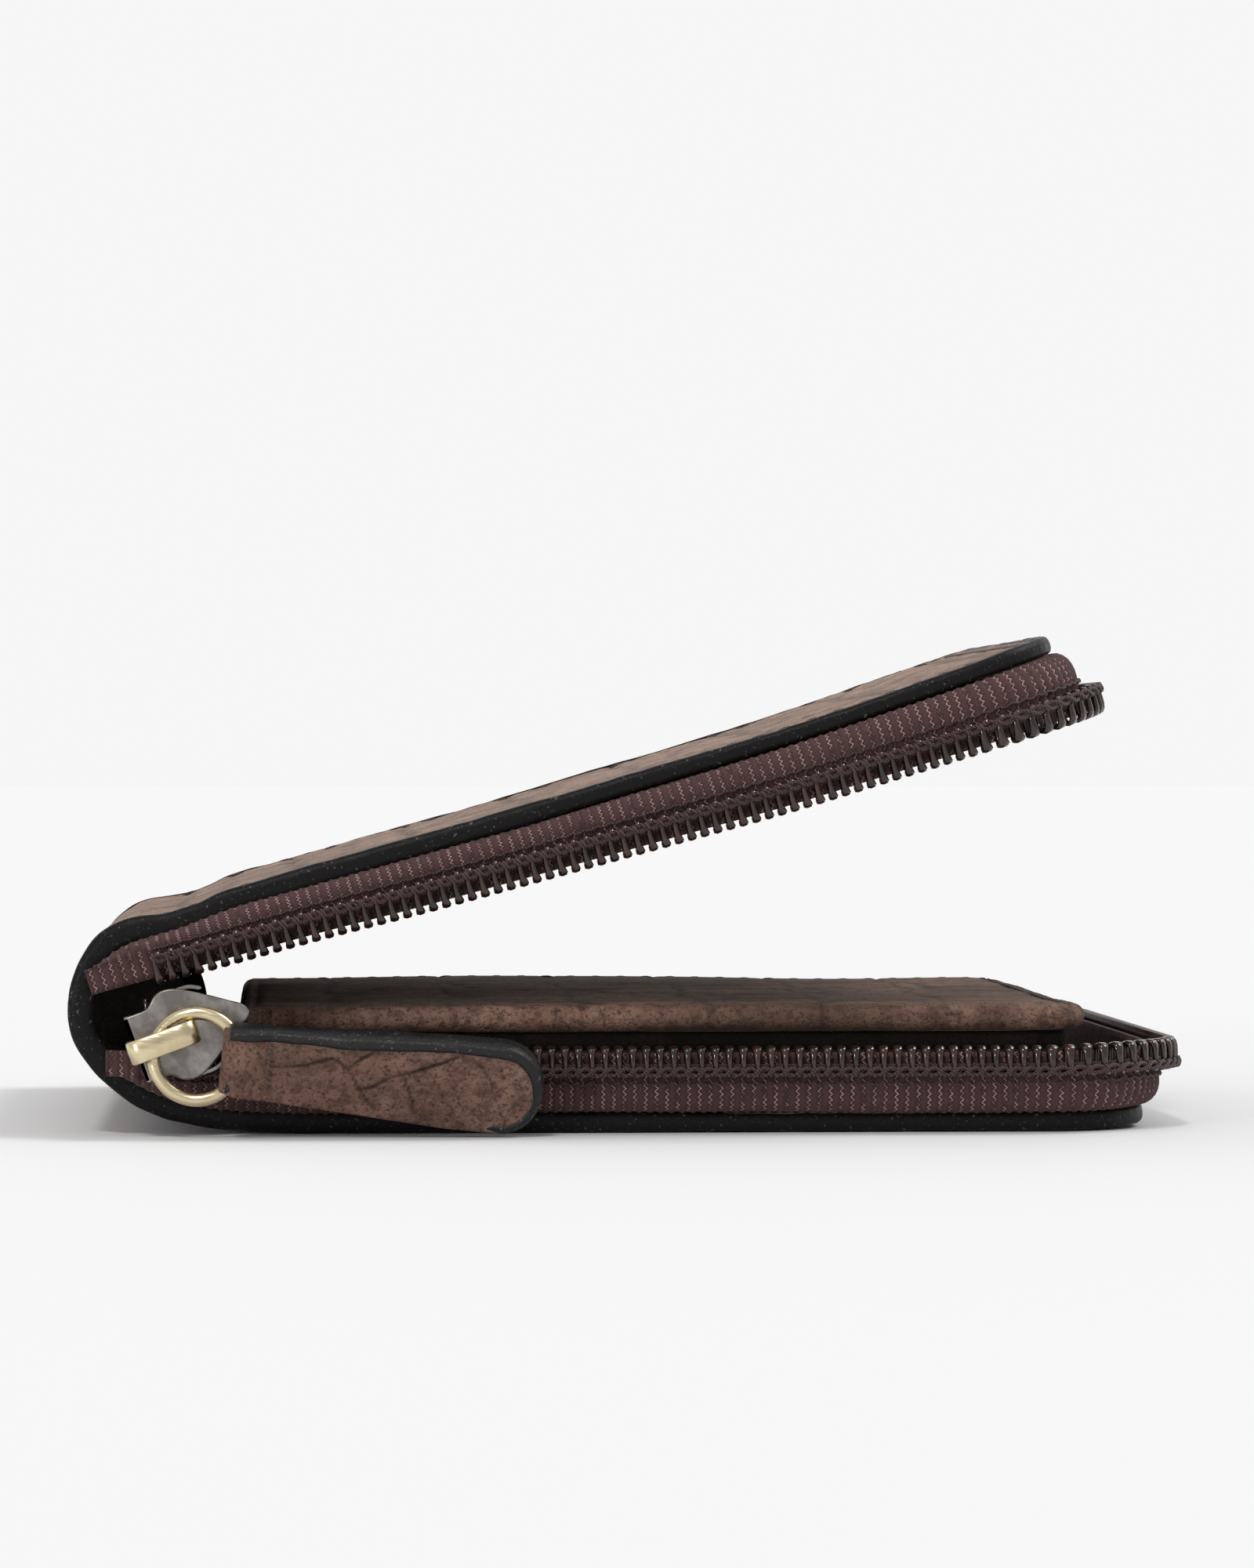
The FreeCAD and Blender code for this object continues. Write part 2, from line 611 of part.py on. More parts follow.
def make_spine():
    leather = new_body("spine_leather", SPINE_PLACE)
    spine_strip(leather, "0", "Sizes.leather", "Sizes.cover_width")
    lining = new_body("spine_lining", SPINE_PLACE)
    spine_strip(lining, "Sizes.leather", HEEL_THICK, "Sizes.cover_width")
    longer = new_body("spine_edge_blank", SPINE_PLACE, keep=False)
    spine_strip(longer, "0", HEEL_THICK, "Sizes.cover_width + 2 * Sizes.edge_paint")
    core = new_body("spine_edge_core", SPINE_PLACE, keep=False)
    spine_strip(core, "0", HEEL_THICK, "Sizes.cover_width")
    cut("spine_edge_paint", longer, core)


def near_block(body, x_low, x_high, z_low, z_high, y_low, y_high):
    """Block on the near side: its Y range is given as distances from the middle plane."""
    sketch = new_sketch(body, "XZ_Plane", y_low)
    polygon(sketch, [(x_low, z_low), (x_high, z_low), (x_high, z_high), (x_low, z_high)])
    return pad(body, sketch, f"({y_high}) - ({y_low})")


def make_chain_end():
    """Meshed end of the chain behind the slider, its bottom stop and the sewn tape end."""
    mid = "Sizes.closed_thickness / 2"
    coil_near = f"{HALF_WIDTH} + Sizes.coil_inner"
    coil_far = f"{HALF_WIDTH} + {COIL_OUTER}"
    chain_right = f"{COIL_END} - Sizes.chain_setback"
    chain_left = f"{chain_right} - Sizes.chain_length"
    chain_low, chain_high = f"{mid} - Sizes.chain_half", f"{mid} + Sizes.chain_half"

    chain = new_body("zipper_chain_end", SPINE_PLACE)
    near_block(chain, chain_left, chain_right, chain_low, chain_high, coil_near, coil_far)

    stop = new_body("zipper_bottom_stop", SPINE_PLACE)
    stop_left = f"{chain_left} - Sizes.bottom_stop"
    near_block(
        stop, stop_left, chain_left, f"{mid} - Sizes.bottom_stop", f"{mid} + Sizes.bottom_stop",
        f"{coil_near} - Sizes.stop_proud", f"{coil_far} + Sizes.stop_proud",
    )

    tape = new_body("zipper_tape_end", SPINE_PLACE)
    tape_back = f"{coil_near} - Sizes.tape_thick - Sizes.stop_proud"
    near_block(
        tape, stop_left, f"{chain_right} - 1.2", chain_low, chain_high,
        tape_back, f"{tape_back} + Sizes.tape_thick",
    )
    near_block(
        tape, f"{stop_left} + 0.4", f"{stop_left} + 0.9", f"{mid} - 2", f"{mid} + 2",
        f"{tape_back} - 6", f"{tape_back} + 0.2",
    )


# --- slider, ring and pull -----------------------------------------------------------------

BACK_PLATE_Y = f"({HALF_WIDTH} + 0.5)"
GAP_Y = f"({BACK_PLATE_Y} + Sizes.back_plate)"
FRONT_PLATE_Y = f"({GAP_Y} + Sizes.plate_gap)"
SLIDER_FACE_Y = f"({FRONT_PLATE_Y} + Sizes.front_plate)"


def slider_outline(sketch):
    """Tail, waist, shoulders and nose; the slider points along +X."""
    long, wide = "Sizes.slider_half", "Sizes.shoulder_half"  # the numbers below are shares of these
    upper = [
        (f"-{long}", "Sizes.tail_half"),
        (f"-{long} * 0.62", "Sizes.tail_half * 0.96"),
        (f"-{long} * 0.34", f"{wide} * 0.96"),
        (f"{long} * 0.1", wide),
        (f"{long} * 0.42", f"{wide} * 0.82"),
        (f"{long} * 0.75", "Sizes.nose_half * 1.6"),
        (long, "Sizes.nose_half"),
    ]
    lower = [(x, f"-({y})") for x, y in reversed(upper)]
    polygon(sketch, upper + lower)


def make_slider():
    body = new_body("slider_body", SLIDER_PLACE)
    for bottom, thick in ((BACK_PLATE_Y, "Sizes.back_plate"), (FRONT_PLATE_Y, "Sizes.front_plate")):
        sketch = new_sketch(body, "XZ_Plane", bottom)
        slider_outline(sketch)
        pad(body, sketch, thick)
        if bottom == BACK_PLATE_Y:
            post = ("Sizes.post_left", "Sizes.post_right", "-Sizes.post_half", "Sizes.post_half")
            near_block(body, *post, GAP_Y, f"{FRONT_PLATE_Y} + Sizes.merge")

    bridge = new_body("slider_bridge", SLIDER_PLACE)
    under = f"({SLIDER_FACE_Y} + Sizes.bridge_gap)"
    side = "Sizes.bridge_width / 2"
    tail, right = "-Sizes.slider_half - Sizes.bridge_overhang", "Sizes.bridge_right"
    joined = f"{under} + Sizes.merge"
    foot_left, foot_side = f"{right} - Sizes.bridge_thick", f"{side} * 0.75"
    near_block(bridge, tail, right, f"-{side}", side, under, f"{under} + Sizes.bridge_thick")
    near_block(bridge, tail, "-Sizes.slider_half", f"-{side}", side, FRONT_PLATE_Y, joined)
    near_block(bridge, foot_left, right, f"-{foot_side}", foot_side, SLIDER_FACE_Y, joined)


def slider_point(x, z, y_expression):
    """Rest position of a point given in the slider's own X and Z, and its distance out."""
    place = SLIDER_PLACE.multVec(Vector(x, 0, z))
    return Vector(place.x, -value(y_expression), place.z)


RING_CROSSING = slider_point(sizes.ring_x, sizes.ring_z, f"{SLIDER_FACE_Y} + Sizes.ring_stand_off")
# The ring's own X runs from the crossing to its middle, its own Z along the wire there.
RING_PLACE = Placement(RING_CROSSING, Rotation(Vector(0, 1, 0), sizes.ring_slope)) * Placement(
    Vector(), Rotation(Vector(0, 0, 1), -sizes.ring_lean)
)
RING_MIDDLE = RING_PLACE.multVec(Vector(sizes.ring_radius, 0, 0))


def make_pull_ring():
    ring = document.addObject("Part::Torus", "pull_ring")
    ring.Label = "pull_ring"
    ring.setExpression("Radius1", "Sizes.ring_radius")
    ring.setExpression("Radius2", "Sizes.ring_wire")
    upright = Placement(Vector(), Rotation(Vector(1, 0, 0), 90))
    ring.Placement = RING_PLACE * Placement(Vector(sizes.ring_radius, 0, 0), Rotation()) * upright
    nodes.append(ring)


# The pull's own origin is on the ring's wire, its own X runs to the tip.
PULL_HEADING = Rotation(Vector(0, 1, 0), sizes.pull_slope) * Rotation(Vector(0, 0, 1), sizes.pull_yaw)
PULL_START = RING_MIDDLE + Rotation(Vector(0, 1, 0), sizes.pull_slope).multVec(
    Vector(sizes.ring_radius, -sizes.pull_shift, 0)
)
PULL_PLACE = Placement(PULL_START, PULL_HEADING)
LOOP_BACK = "-3.2"
EYE_LEFT, EYE_RIGHT = "-2.25", "1.5"
LOOP_RIGHT = "4.6"


def pull_outline(sketch, offset):
    """Strap that widens from the ring to a rounded tip, drawn out by a distance."""
    loop, wide = f"Sizes.pull_loop_half + {offset}", f"Sizes.pull_half + {offset}"
    tip = f"Sizes.pull_length + {offset}"
    upper = [
        (LOOP_BACK, loop),
        ("4", f"{loop} + 0.3"),
        ("Sizes.pull_length - 4.5", wide),
        ("Sizes.pull_length - 1.9", f"{wide} - 0.7"),
        ("Sizes.pull_length - 0.6", f"{wide} - 2"),
        (tip, f"{wide} - 3.4"),
    ]
    lower = [(x, f"-({y})") for x, y in reversed(upper)]
    polygon(sketch, upper + lower)


def pull_blank(label, offset, keep):
    body = new_body(label, PULL_PLACE, keep)
    sketch = new_sketch(body, "XZ_Plane")
    pull_outline(sketch, offset)
    pad(body, sketch, "Sizes.pull_thick", symmetric=True)
    return body


def loop_bulge(body, half_width):
    """Thicker eye round the ring's wire, with the eye itself cut through."""
    bulge, half_eye = "Sizes.loop_half_thick", "Sizes.eye_half"
    profile = new_sketch(body, "XY_Plane")
    polygon(profile, [
        (LOOP_BACK, "-1.1"), ("-2.4", f"-{bulge}"), ("2.2", f"-{bulge}"), (LOOP_RIGHT, "-1.2"),
        (LOOP_RIGHT, "1.2"), ("2.2", bulge), ("-2.4", bulge), (LOOP_BACK, "1.1"),
    ])
    pad(body, profile, f"2 * ({half_width})", symmetric=True)
    eye = new_sketch(body, "XY_Plane")
    polygon(eye, [
        (EYE_LEFT, f"-{half_eye}"), (EYE_RIGHT, f"-{half_eye}"),
        (EYE_RIGHT, half_eye), (EYE_LEFT, half_eye),
    ])
    pocket(body, eye, "20", symmetric=True)


def make_pull():
    leather = pull_blank("pull_leather", "0", keep=True)
    loop_bulge(leather, "Sizes.pull_loop_half")

    outer = pull_blank("pull_edge_blank", "Sizes.edge_paint", keep=False)
    core = pull_blank("pull_edge_core", "0", keep=False)
    rim = document.addObject("Part::Cut", "pull_edge_rim")
    rim.Base = outer
    rim.Tool = core
    beyond_loop = new_body("pull_edge_zone", PULL_PLACE, keep=False)
    zone = new_sketch(beyond_loop, "XZ_Plane")
    start, end, side = "Sizes.rim_start", "2 * Sizes.pull_length", "2 * Sizes.pull_half"
    polygon(zone, [(start, f"-{side}"), (end, f"-{side}"), (end, side), (start, side)])
    pad(beyond_loop, zone, "3 * Sizes.pull_thick", symmetric=True)
    paint = document.addObject("Part::Common", "pull_edge_paint")
    paint.Label = "pull_edge_paint"
    paint.Base = rim
    paint.Tool = beyond_loop
    nodes.append(paint)

    stitches = []
    proud, wide = sizes.stop_proud, sizes.stitch_width
    first = -(3 * sizes.seam_pitch + sizes.seam_stitch) / 2
    for y in (-sizes.pull_thick / 2 - proud, sizes.pull_thick / 2):
        for i in range(4):
            corner = Vector(sizes.seam_x, y, first + sizes.seam_pitch * i)
            stitches.append(Part.makeBox(wide, proud, sizes.seam_stitch, corner))
    row = document.addObject("Part::Feature", "pull_stitching")
    row.Label = "pull_stitching"
    row.Shape = Part.makeCompound(stitches)
    row.Placement = PULL_PLACE
    nodes.append(row)


# --- build, check and write ----------------------------------------------------------------


def build():
    for half in HALF_PLACES:
        make_cover_leather(half)
        make_stiffener_board(half)
        make_edge_paint(half)
        make_lining(half)
        make_zipper_tape(half)
        make_zipper_coil(half)
        make_top_stop(half)
        make_cover_stitching(half)
    make_inner_panel()
    make_panel_stitching()
    make_pocket_leaves()
    make_card_leaves()
    make_spine()
    make_chain_end()
    make_slider()
    make_pull_ring()
    make_pull()


def check():
    document.recompute()
    for item in document.Objects:
        if "Invalid" in item.State or "Error" in item.State:
            raise RuntimeError(f"{item.Label} failed: {item.State}")
    for node in nodes:
        if node.Shape.isNull() or not node.Shape.isValid():
            raise RuntimeError(f"{node.Label} has no valid shape")


def write():
    os.makedirs("parts", exist_ok=True)
    for node in nodes:
        node.Shape.exportStep(f"parts/{node.Label}.step")
        box = node.Shape.BoundBox
        print(f"{node.Label}: {len(node.Shape.Solids)} solids, {node.Shape.Volume:.1f} mm3, "
              f"x {box.XMin:.1f}..{box.XMax:.1f} y {box.YMin:.1f}..{box.YMax:.1f} "
              f"z {box.ZMin:.1f}..{box.ZMax:.1f}")


build()
check()
write()
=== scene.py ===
"""Looks of the zip-around bifold wallet. Shapes are worked out in millimetres in the CAD frame."""

import json
import math

import bmesh
import bpy
import numpy as np
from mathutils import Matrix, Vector


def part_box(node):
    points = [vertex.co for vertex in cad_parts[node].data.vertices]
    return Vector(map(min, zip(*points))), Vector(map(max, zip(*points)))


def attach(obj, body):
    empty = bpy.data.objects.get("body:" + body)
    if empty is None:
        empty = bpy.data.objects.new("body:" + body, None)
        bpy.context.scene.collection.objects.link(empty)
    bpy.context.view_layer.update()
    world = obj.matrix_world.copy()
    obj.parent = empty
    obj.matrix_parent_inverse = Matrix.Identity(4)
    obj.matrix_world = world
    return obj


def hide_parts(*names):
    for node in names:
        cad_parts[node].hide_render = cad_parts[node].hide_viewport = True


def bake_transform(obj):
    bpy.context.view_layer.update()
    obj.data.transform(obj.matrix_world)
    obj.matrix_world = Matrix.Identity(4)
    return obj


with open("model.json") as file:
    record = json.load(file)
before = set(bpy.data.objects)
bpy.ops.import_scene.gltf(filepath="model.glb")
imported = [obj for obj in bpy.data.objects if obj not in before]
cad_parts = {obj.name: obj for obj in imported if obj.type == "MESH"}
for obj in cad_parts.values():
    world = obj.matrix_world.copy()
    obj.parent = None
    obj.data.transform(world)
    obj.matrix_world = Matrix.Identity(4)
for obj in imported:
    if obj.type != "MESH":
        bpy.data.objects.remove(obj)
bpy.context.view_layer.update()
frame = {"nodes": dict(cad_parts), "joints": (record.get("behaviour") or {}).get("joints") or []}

MM = 0.001
# The cover's edge at the mouth and at its two sides, then the fold between a half and the spine.
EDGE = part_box("lower_stiffener_board")[1]
FLAT, WIDTH = round(EDGE[0] / MM, 2), round(EDGE[1] / MM, 2)
HINGE = next(joint for joint in frame["joints"] if joint["name"] == "fold_lower")
FOLD_X, FOLD_RISE = round(HINGE["pos_m"][0] / MM, 2), round(HINGE["pos_m"][2] / MM, 2)
OPENING = -2 * HINGE["range_deg"][0]
CORNER, SHUT = 11.0, 20.2  # radius of the cover's corners, thickness of the shut wallet
MOUTH = 2 * (WIDTH - CORNER)  # straight part of the mouth
COIL_PITCH, RIB = 1.37, 1.07  # one turn of the coil, one rib of the tape


# --- places --------------------------------------------------------------------------------


def turned(x, z, about, degrees):
    """Points of the XZ plane turned from +X towards +Z."""
    c, s = math.cos(math.radians(degrees)), math.sin(math.radians(degrees))
    dx, dz = x - about[0], z - about[1]
    return about[0] + c * dx - s * dz, about[1] + s * dx + c * dz


def to_upper(x, w):
    """Place in the XZ plane of a point of the upper half, w being its depth from the outer face."""
    x, z = turned(x, SHUT - w, (FOLD_X, SHUT - FOLD_RISE), OPENING / 2)
    return turned(x, z, (FOLD_X, FOLD_RISE), OPENING / 2)


# How far the cover, and the coil's side of the tape, stand off the flat drawing along a half.
COVER_BEND = {
    "lower": ([-58, -55.8, -52.4, -48.8, -44, -35, 38, 44, 48.5],
              [5.6, 4.2, 2.0, 0.9, 0.3, 0, 0, 0.1, 0.4]),
    "upper": ([-57.4, -54.85, -51.9, -47.4, -44, -41.3, -36, -23.3, -10.9, 1.65, 18.6, 31, 48.5],
              [1.75, -0.1, -0.8, -0.3, -0.55, -0.9, -0.62, -0.25, 0.2, 0.4, 0.65, 0.4, -0.15]),
}
COIL_BEND = {
    "lower": ([-56, -49, -40, 38, 48.5], [0.4, 0.2, 0, 0, 0.4]),
    "upper": ([-56, -46.4, -33, -22.6, 16, 47.5], [-2.9, -2.43, -1.96, -1.35, 0.15, 0.37]),
}


def smooth_table(table, x, width=3.0):
    """Table lookup, smoothed by averaging over a short stretch."""
    x = np.asarray(x, float)
    offsets = np.linspace(-width, width, 7)
    return sum(np.interp(x + o, *table) for o in offsets) / 7


def reach(x):
    """The lower half lies a little longer at the mouth than the flat drawing."""
    t = np.clip((np.asarray(x, float) + 10) / 58.5, 0, 1)
    return x + 2.2 * t * t * (3 - 2 * t)


def place(half, x, y, w):
    """Row-frame point of a half's own x, y and depth w. The cover's bend fades into the coil's."""
    x, y, w = np.broadcast_arrays(np.asarray(x, float), y, w)
    share = np.clip((w - 2.0) / 3.5, 0, 1)
    w = w + (1 - share) * smooth_table(COVER_BEND[half], x)
    w = w + share * smooth_table(COIL_BEND[half], x)
    if half == "lower":
        return np.stack([reach(x), y, w], -1)
    px, pz = to_upper(x, w)
    return np.stack([px, y, pz], -1)


def round_mouth(p, side, mouth, corner):
    """Run along the near side, round the mouth and back along the far side. Gives the distance
    from the mouth end, y, and the outward normal."""
    arc = corner * math.pi / 2
    turn1 = np.clip((p - side) / corner, 0, math.pi / 2)
    turn2 = np.clip((p - side - arc - mouth) / corner, 0, math.pi / 2)
    nx, ny = np.sin(turn1) * np.cos(turn2), -np.cos(turn1) + np.sin(turn2)
    far = np.maximum(p - side - 2 * arc - mouth, 0)
    m = corner - corner * nx + (side - np.minimum(p, side)) + far
    y = -mouth / 2 + np.clip(p - side - arc, 0, mouth) + corner * ny
    return m, y, nx, ny


def run_length(side, mouth, corner):
    return 2 * side + corner * math.pi + mouth


def outline(p, left):
    """Cover's edge from the near side round the mouth to the far side: x, y, outward normal."""
    m, y, nx, ny = round_mouth(p, FLAT - CORNER - left, MOUTH, CORNER)
    return FLAT - m, y, nx, ny


def outline_length(left):
    return run_length(FLAT - CORNER - left, MOUTH, CORNER)


def around(half, p, left, d, w):
    """Point at a distance p along the cover's edge, d outside it, at depth w."""
    x, y, nx, ny = outline(np.asarray(p, float), left)
    return place(half, x + nx * d, y + ny * d, w)


def unit(vectors):
    return vectors / np.maximum(np.linalg.norm(vectors, axis=1), 1e-9)[:, None]


def run_along(line):
    """Distance along a line up to each of its points."""
    return np.concatenate([[0], np.cumsum(np.linalg.norm(np.diff(line, axis=0), axis=1))])


def smooth_line(points, step=0.5):
    """Even points on a smooth curve through the given ones."""
    p = np.array(points, float)
    ends = np.vstack([2 * p[0] - p[1], p, 2 * p[-1] - p[-2]])
    t = np.linspace(0, 1, 24, endpoint=False)[:, None]
    spans = []
    for a, b, c, d in zip(ends, ends[1:], ends[2:], ends[3:]):
        spans.append(0.5 * (2 * b + (c - a) * t + (2 * a - 5 * b + 4 * c - d) * t ** 2
                            + (3 * b - a - 3 * c + d) * t ** 3))
    line = np.vstack(spans + [p[-1:]])
    run = run_along(line)
    at = np.linspace(0, run[-1], max(2, round(run[-1] / step)) + 1)
    return np.stack([np.interp(at, run, line[:, k]) for k in range(p.shape[1])], 1)


# --- meshes --------------------------------------------------------------------------------


def mesh_piece(name, points, faces, material, uv=None, marks=None, weld=False):
    """Mesh piece from millimetre points. uv and marks are one value per point."""
    mesh = bpy.data.meshes.new(name)
    mesh.from_pydata((np.asarray(points) * MM).tolist(), [], [list(map(int, f)) for f in faces])
    if uv is not None:
        layer = mesh.uv_layers.new(name="UVMap")
        loops = np.zeros(len(mesh.loops), np.int32)
        mesh.loops.foreach_get("vertex_index", loops)
        layer.data.foreach_set("uv", np.asarray(uv, float)[loops].ravel())
    if marks is not None:
        # The groove marks darken the leather's colour as painted shade.
        mesh.attributes.new("groove", "FLOAT", "POINT").data.foreach_set(
            "value", np.asarray(marks, np.float32))
    work = bmesh.new()
    work.from_mesh(mesh)
    if weld:
        bmesh.ops.remove_doubles(work, verts=work.verts, dist=2e-7)
    bmesh.ops.recalc_face_normals(work, faces=work.faces)
    for face in work.faces:
        face.smooth = len(face.verts) < 5
    work.to_mesh(mesh)
    work.free()
    piece = bpy.data.objects.new(name, mesh)
    bpy.context.scene.collection.objects.link(piece)
    mesh.materials.append(material)
    return piece


def grid_faces(rows, cols, first=0, wrap=False):
    i, j = np.meshgrid(np.arange(rows - 1), np.arange(cols if wrap else cols - 1), indexing="ij")
    k = (j + 1) % cols
    quads = np.stack([i * cols + j, i * cols + k, (i + 1) * cols + k, (i + 1) * cols + j], -1)
    return quads.reshape(-1, 4) + first


def closed_faces(rows, cols, first=0):
    """Faces of two grids of the same size, one after the other, joined round their edges."""
    count = rows * cols
    index = np.arange(count).reshape(rows, cols) + first
    ring = np.concatenate([index[0, :-1], index[:-1, -1], index[-1, :0:-1], index[:0:-1, 0]])
    after = np.roll(ring, -1)
    return np.vstack([grid_faces(rows, cols, first), grid_faces(rows, cols, first + count),
                      np.stack([ring, after, after + count, ring + count], 1)])


def sheet_piece(name, face, back, u, v, groove, material):
    """Closed piece of a face and a back, both grids, with its own map and groove marks."""
    uv = np.stack([u, v], -1).reshape(-1, 2) * MM
    groove = groove.ravel()
    return mesh_piece(name, np.vstack([face.reshape(-1, 3), back.reshape(-1, 3)]),
                      closed_faces(*u.shape), material, np.vstack([uv, uv]),
                      np.concatenate([groove, groove]), weld=True)


def swept(sections, first=0, closed=False):
    """Faces of sections (rows, cols, 3) joined into a tube, with caps unless it is a ring."""
    rows, cols = sections.shape[:2]
    faces = grid_faces(rows, cols, first, wrap=True).tolist()
    if closed:
        last = (rows - 1) * cols + first
        faces += [[last + j, last + (j + 1) % cols, first + (j + 1) % cols, first + j]
                  for j in range(cols)]
    else:
        faces += [list(range(first, first + cols)),
                  list(range(first + (rows - 1) * cols, first + rows * cols))]
    return faces


def swept_piece(name, parts, material, closed=False, uv=None):
    """One piece of several swept tubes."""
    points, faces, count = [], [], 0
    for sections in parts:
        faces += swept(sections, count, closed)
        points.append(sections.reshape(-1, 3))
        count += sections.shape[0] * sections.shape[1]
    return mesh_piece(name, np.vstack(points), faces, material, uv)


def round_tube(centres, radius, sides=6, up=(0, 0, 1), closed=False):
    """Sections of a round wire along points."""
    c = np.asarray(centres, float)
    ahead = np.roll(c, -1, 0) - np.roll(c, 1, 0)
    if not closed:
        ahead[0], ahead[-1] = c[1] - c[0], c[-1] - c[-2]
    ahead = unit(ahead)
    side = unit(np.cross(ahead, np.asarray(up, float)))
    lift = np.cross(side, ahead)
    angles = np.arange(sides) * 2 * math.pi / sides
    radius = np.broadcast_to(np.asarray(radius, float), (len(c),))[:, None, None]
    return (c[:, None] + radius * (np.cos(angles)[None, :, None] * side[:, None]
                                   + np.sin(angles)[None, :, None] * lift[:, None]))


def fix_to(body, piece, slot, *nodes):
    """The piece stands in for CAD nodes and rides on one body; slot is not used."""
    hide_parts(*nodes)
    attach(piece, body)


# --- crocodile embossing -------------------------------------------------------------------

SCALE_PITCH = (12.8, 9.0)  # size of a scale along and across the cover


def scales(a, b, pitch, seed, jitter=0.2):
    """Distance in millimetres from the nearest line between two scales of a brick-like layout."""
    rng = np.random.default_rng(seed)
    table = rng.random((64, 64, 2)) - 0.5
    ga, gb = a / pitch[0], b / pitch[1]
    ca, cb = np.floor(ga).astype(int), np.floor(gb).astype(int)
    first, second = np.full(a.shape, 9e9), np.full(a.shape, 9e9)
    for da in (-1, 0, 1):
        for db in (-2, -1, 0, 1, 2):
            ia, ib = ca + da, cb + db
            move = table[ia % 64, ib % 64] * 2 * jitter
            x = np.abs(ia + 0.5 + move[..., 0] - ga)
            y = np.abs(ib + 0.5 + 0.5 * (ia % 2) + move[..., 1] - gb)
            d = (x ** 5 + y ** 5) ** 0.2 * min(pitch)
            second = np.where(d < first, first, np.minimum(second, d))
            first = np.minimum(first, d)
    return (second - first) / 2


def waves(a, b, seed, scale):
    """Smooth pseudo-random field between about -1 and 1."""
    rng = np.random.default_rng(seed)
    total = 0
    for k in range(6):
        angle, phase = rng.random(2) * 2 * math.pi
        rate = (1 + 0.7 * k) / scale
        total = total + np.sin((a * math.cos(angle) + b * math.sin(angle)) * rate + phase) / (1 + k)
    return total / 1.6


def embossing(a, b, seed, pitch=SCALE_PITCH, width=0.5, fine=0.5):
    """Groove strength from 0 on a scale to 1 in the line between scales."""
    a2 = a + 0.8 * waves(a, b, seed + 5, 5.0)
    b2 = b + 0.8 * waves(a, b, seed + 6, 4.0)
    main = np.exp(-(scales(a2, b2, pitch, seed) / width) ** 2)
    small = (pitch[0] * 0.33, pitch[1] * 0.21)
    crease = np.exp(-(scales(a2, b2, small, seed + 2, 0.42) / (width * 0.4)) ** 2)
    where = np.clip(waves(a, b, seed + 9, 4.5) * 1.3 + 0.25, 0, 1)
    main = main * (0.65 + 0.35 * waves(a, b, seed + 12, 3.1))
    return np.clip(np.maximum(main, fine * crease * where), 0, 1)


def cross_lines(a, b, start, width=0.5):
    """Strong lines of the embossing that run right across the hide."""
    gap = SCALE_PITCH[0]
    bent = a + 0.7 * waves(a, b, 43, 6) + 0.5 * waves(a, b, 44, 2)
    away = np.abs((bent / gap + start) % 1 - 0.5) * gap
    return np.exp(-(away / width) ** 2) * (0.8 + 0.2 * waves(a, b, 45, 4))


# --- materials -----------------------------------------------------------------------------


class Paint:
    """A procedural material built node by node."""

    def __init__(self, name, **sockets):
        self.material = bpy.data.materials.new(name)
        self.material.use_nodes = True
        self.tree = self.material.node_tree
        self.shader = self.tree.nodes["Principled BSDF"]
        self.coords = self.tree.nodes.new("ShaderNodeTexCoord")
        for key, amount in sockets.items():
            self.shader.inputs[key.replace("_", " ")].default_value = amount

    def node(self, kind, inputs=(), out=0, **settings):
        new = self.tree.nodes.new("ShaderNode" + kind)
        for key, amount in settings.items():
            setattr(new, key, amount)
        for key, amount in dict(inputs).items():
            if isinstance(amount, bpy.types.NodeSocket):
                self.tree.links.new(amount, new.inputs[key])
            else:
                new.inputs[key].default_value = amount
        return new.outputs[out]

    def where(self, space="Object"):
        return self.coords.outputs[space]

    def noise(self, scale, detail, rough, stretch=None):
        vector = self.where()
        if stretch:
            vector = self.node("Mapping", {"Vector": vector, "Scale": stretch})
        return self.node("TexNoise", {"Vector": vector, "Scale": scale, "Detail": detail,
                                      "Roughness": rough})

    def ramp(self, value, *stops):
        new = self.tree.nodes.new("ShaderNodeValToRGB")
        self.tree.links.new(value, new.inputs[0])
        bar = new.color_ramp
        while len(bar.elements) < len(stops):
            bar.elements.new(0.5)
        for element, (at, colour) in zip(bar.elements, stops):
            element.position = at
            grey = isinstance(colour, (int, float))
            element.color = (colour, colour, colour, 1) if grey else (*colour, 1)
        return new.outputs[0]

    def mix(self, share, a, b):
        new = self.tree.nodes.new("ShaderNodeMix")
        new.data_type = "RGBA"
        for index, amount in ((0, share), (6, a), (7, b)):
            if isinstance(amount, bpy.types.NodeSocket):
                self.tree.links.new(amount, new.inputs[index])
            elif index == 0:
                new.inputs[0].default_value = amount
            else:
                new.inputs[index].default_value = (*amount, 1)
        return new.outputs[2]

    def maths(self, kind, a, b=0.0):
        return self.node("Math", {0: a, 1: b}, operation=kind)

    def bump(self, height, distance):
        return self.node("Bump", {"Height": height, "Distance": distance, "Strength": 1.0})

    def finish(self, colour, rough, normal=None):
        for key, link in (("Base Color", colour), ("Roughness", rough), ("Normal", normal)):
            if link is not None:
                self.tree.links.new(link, self.shader.inputs[key])
        return self.material


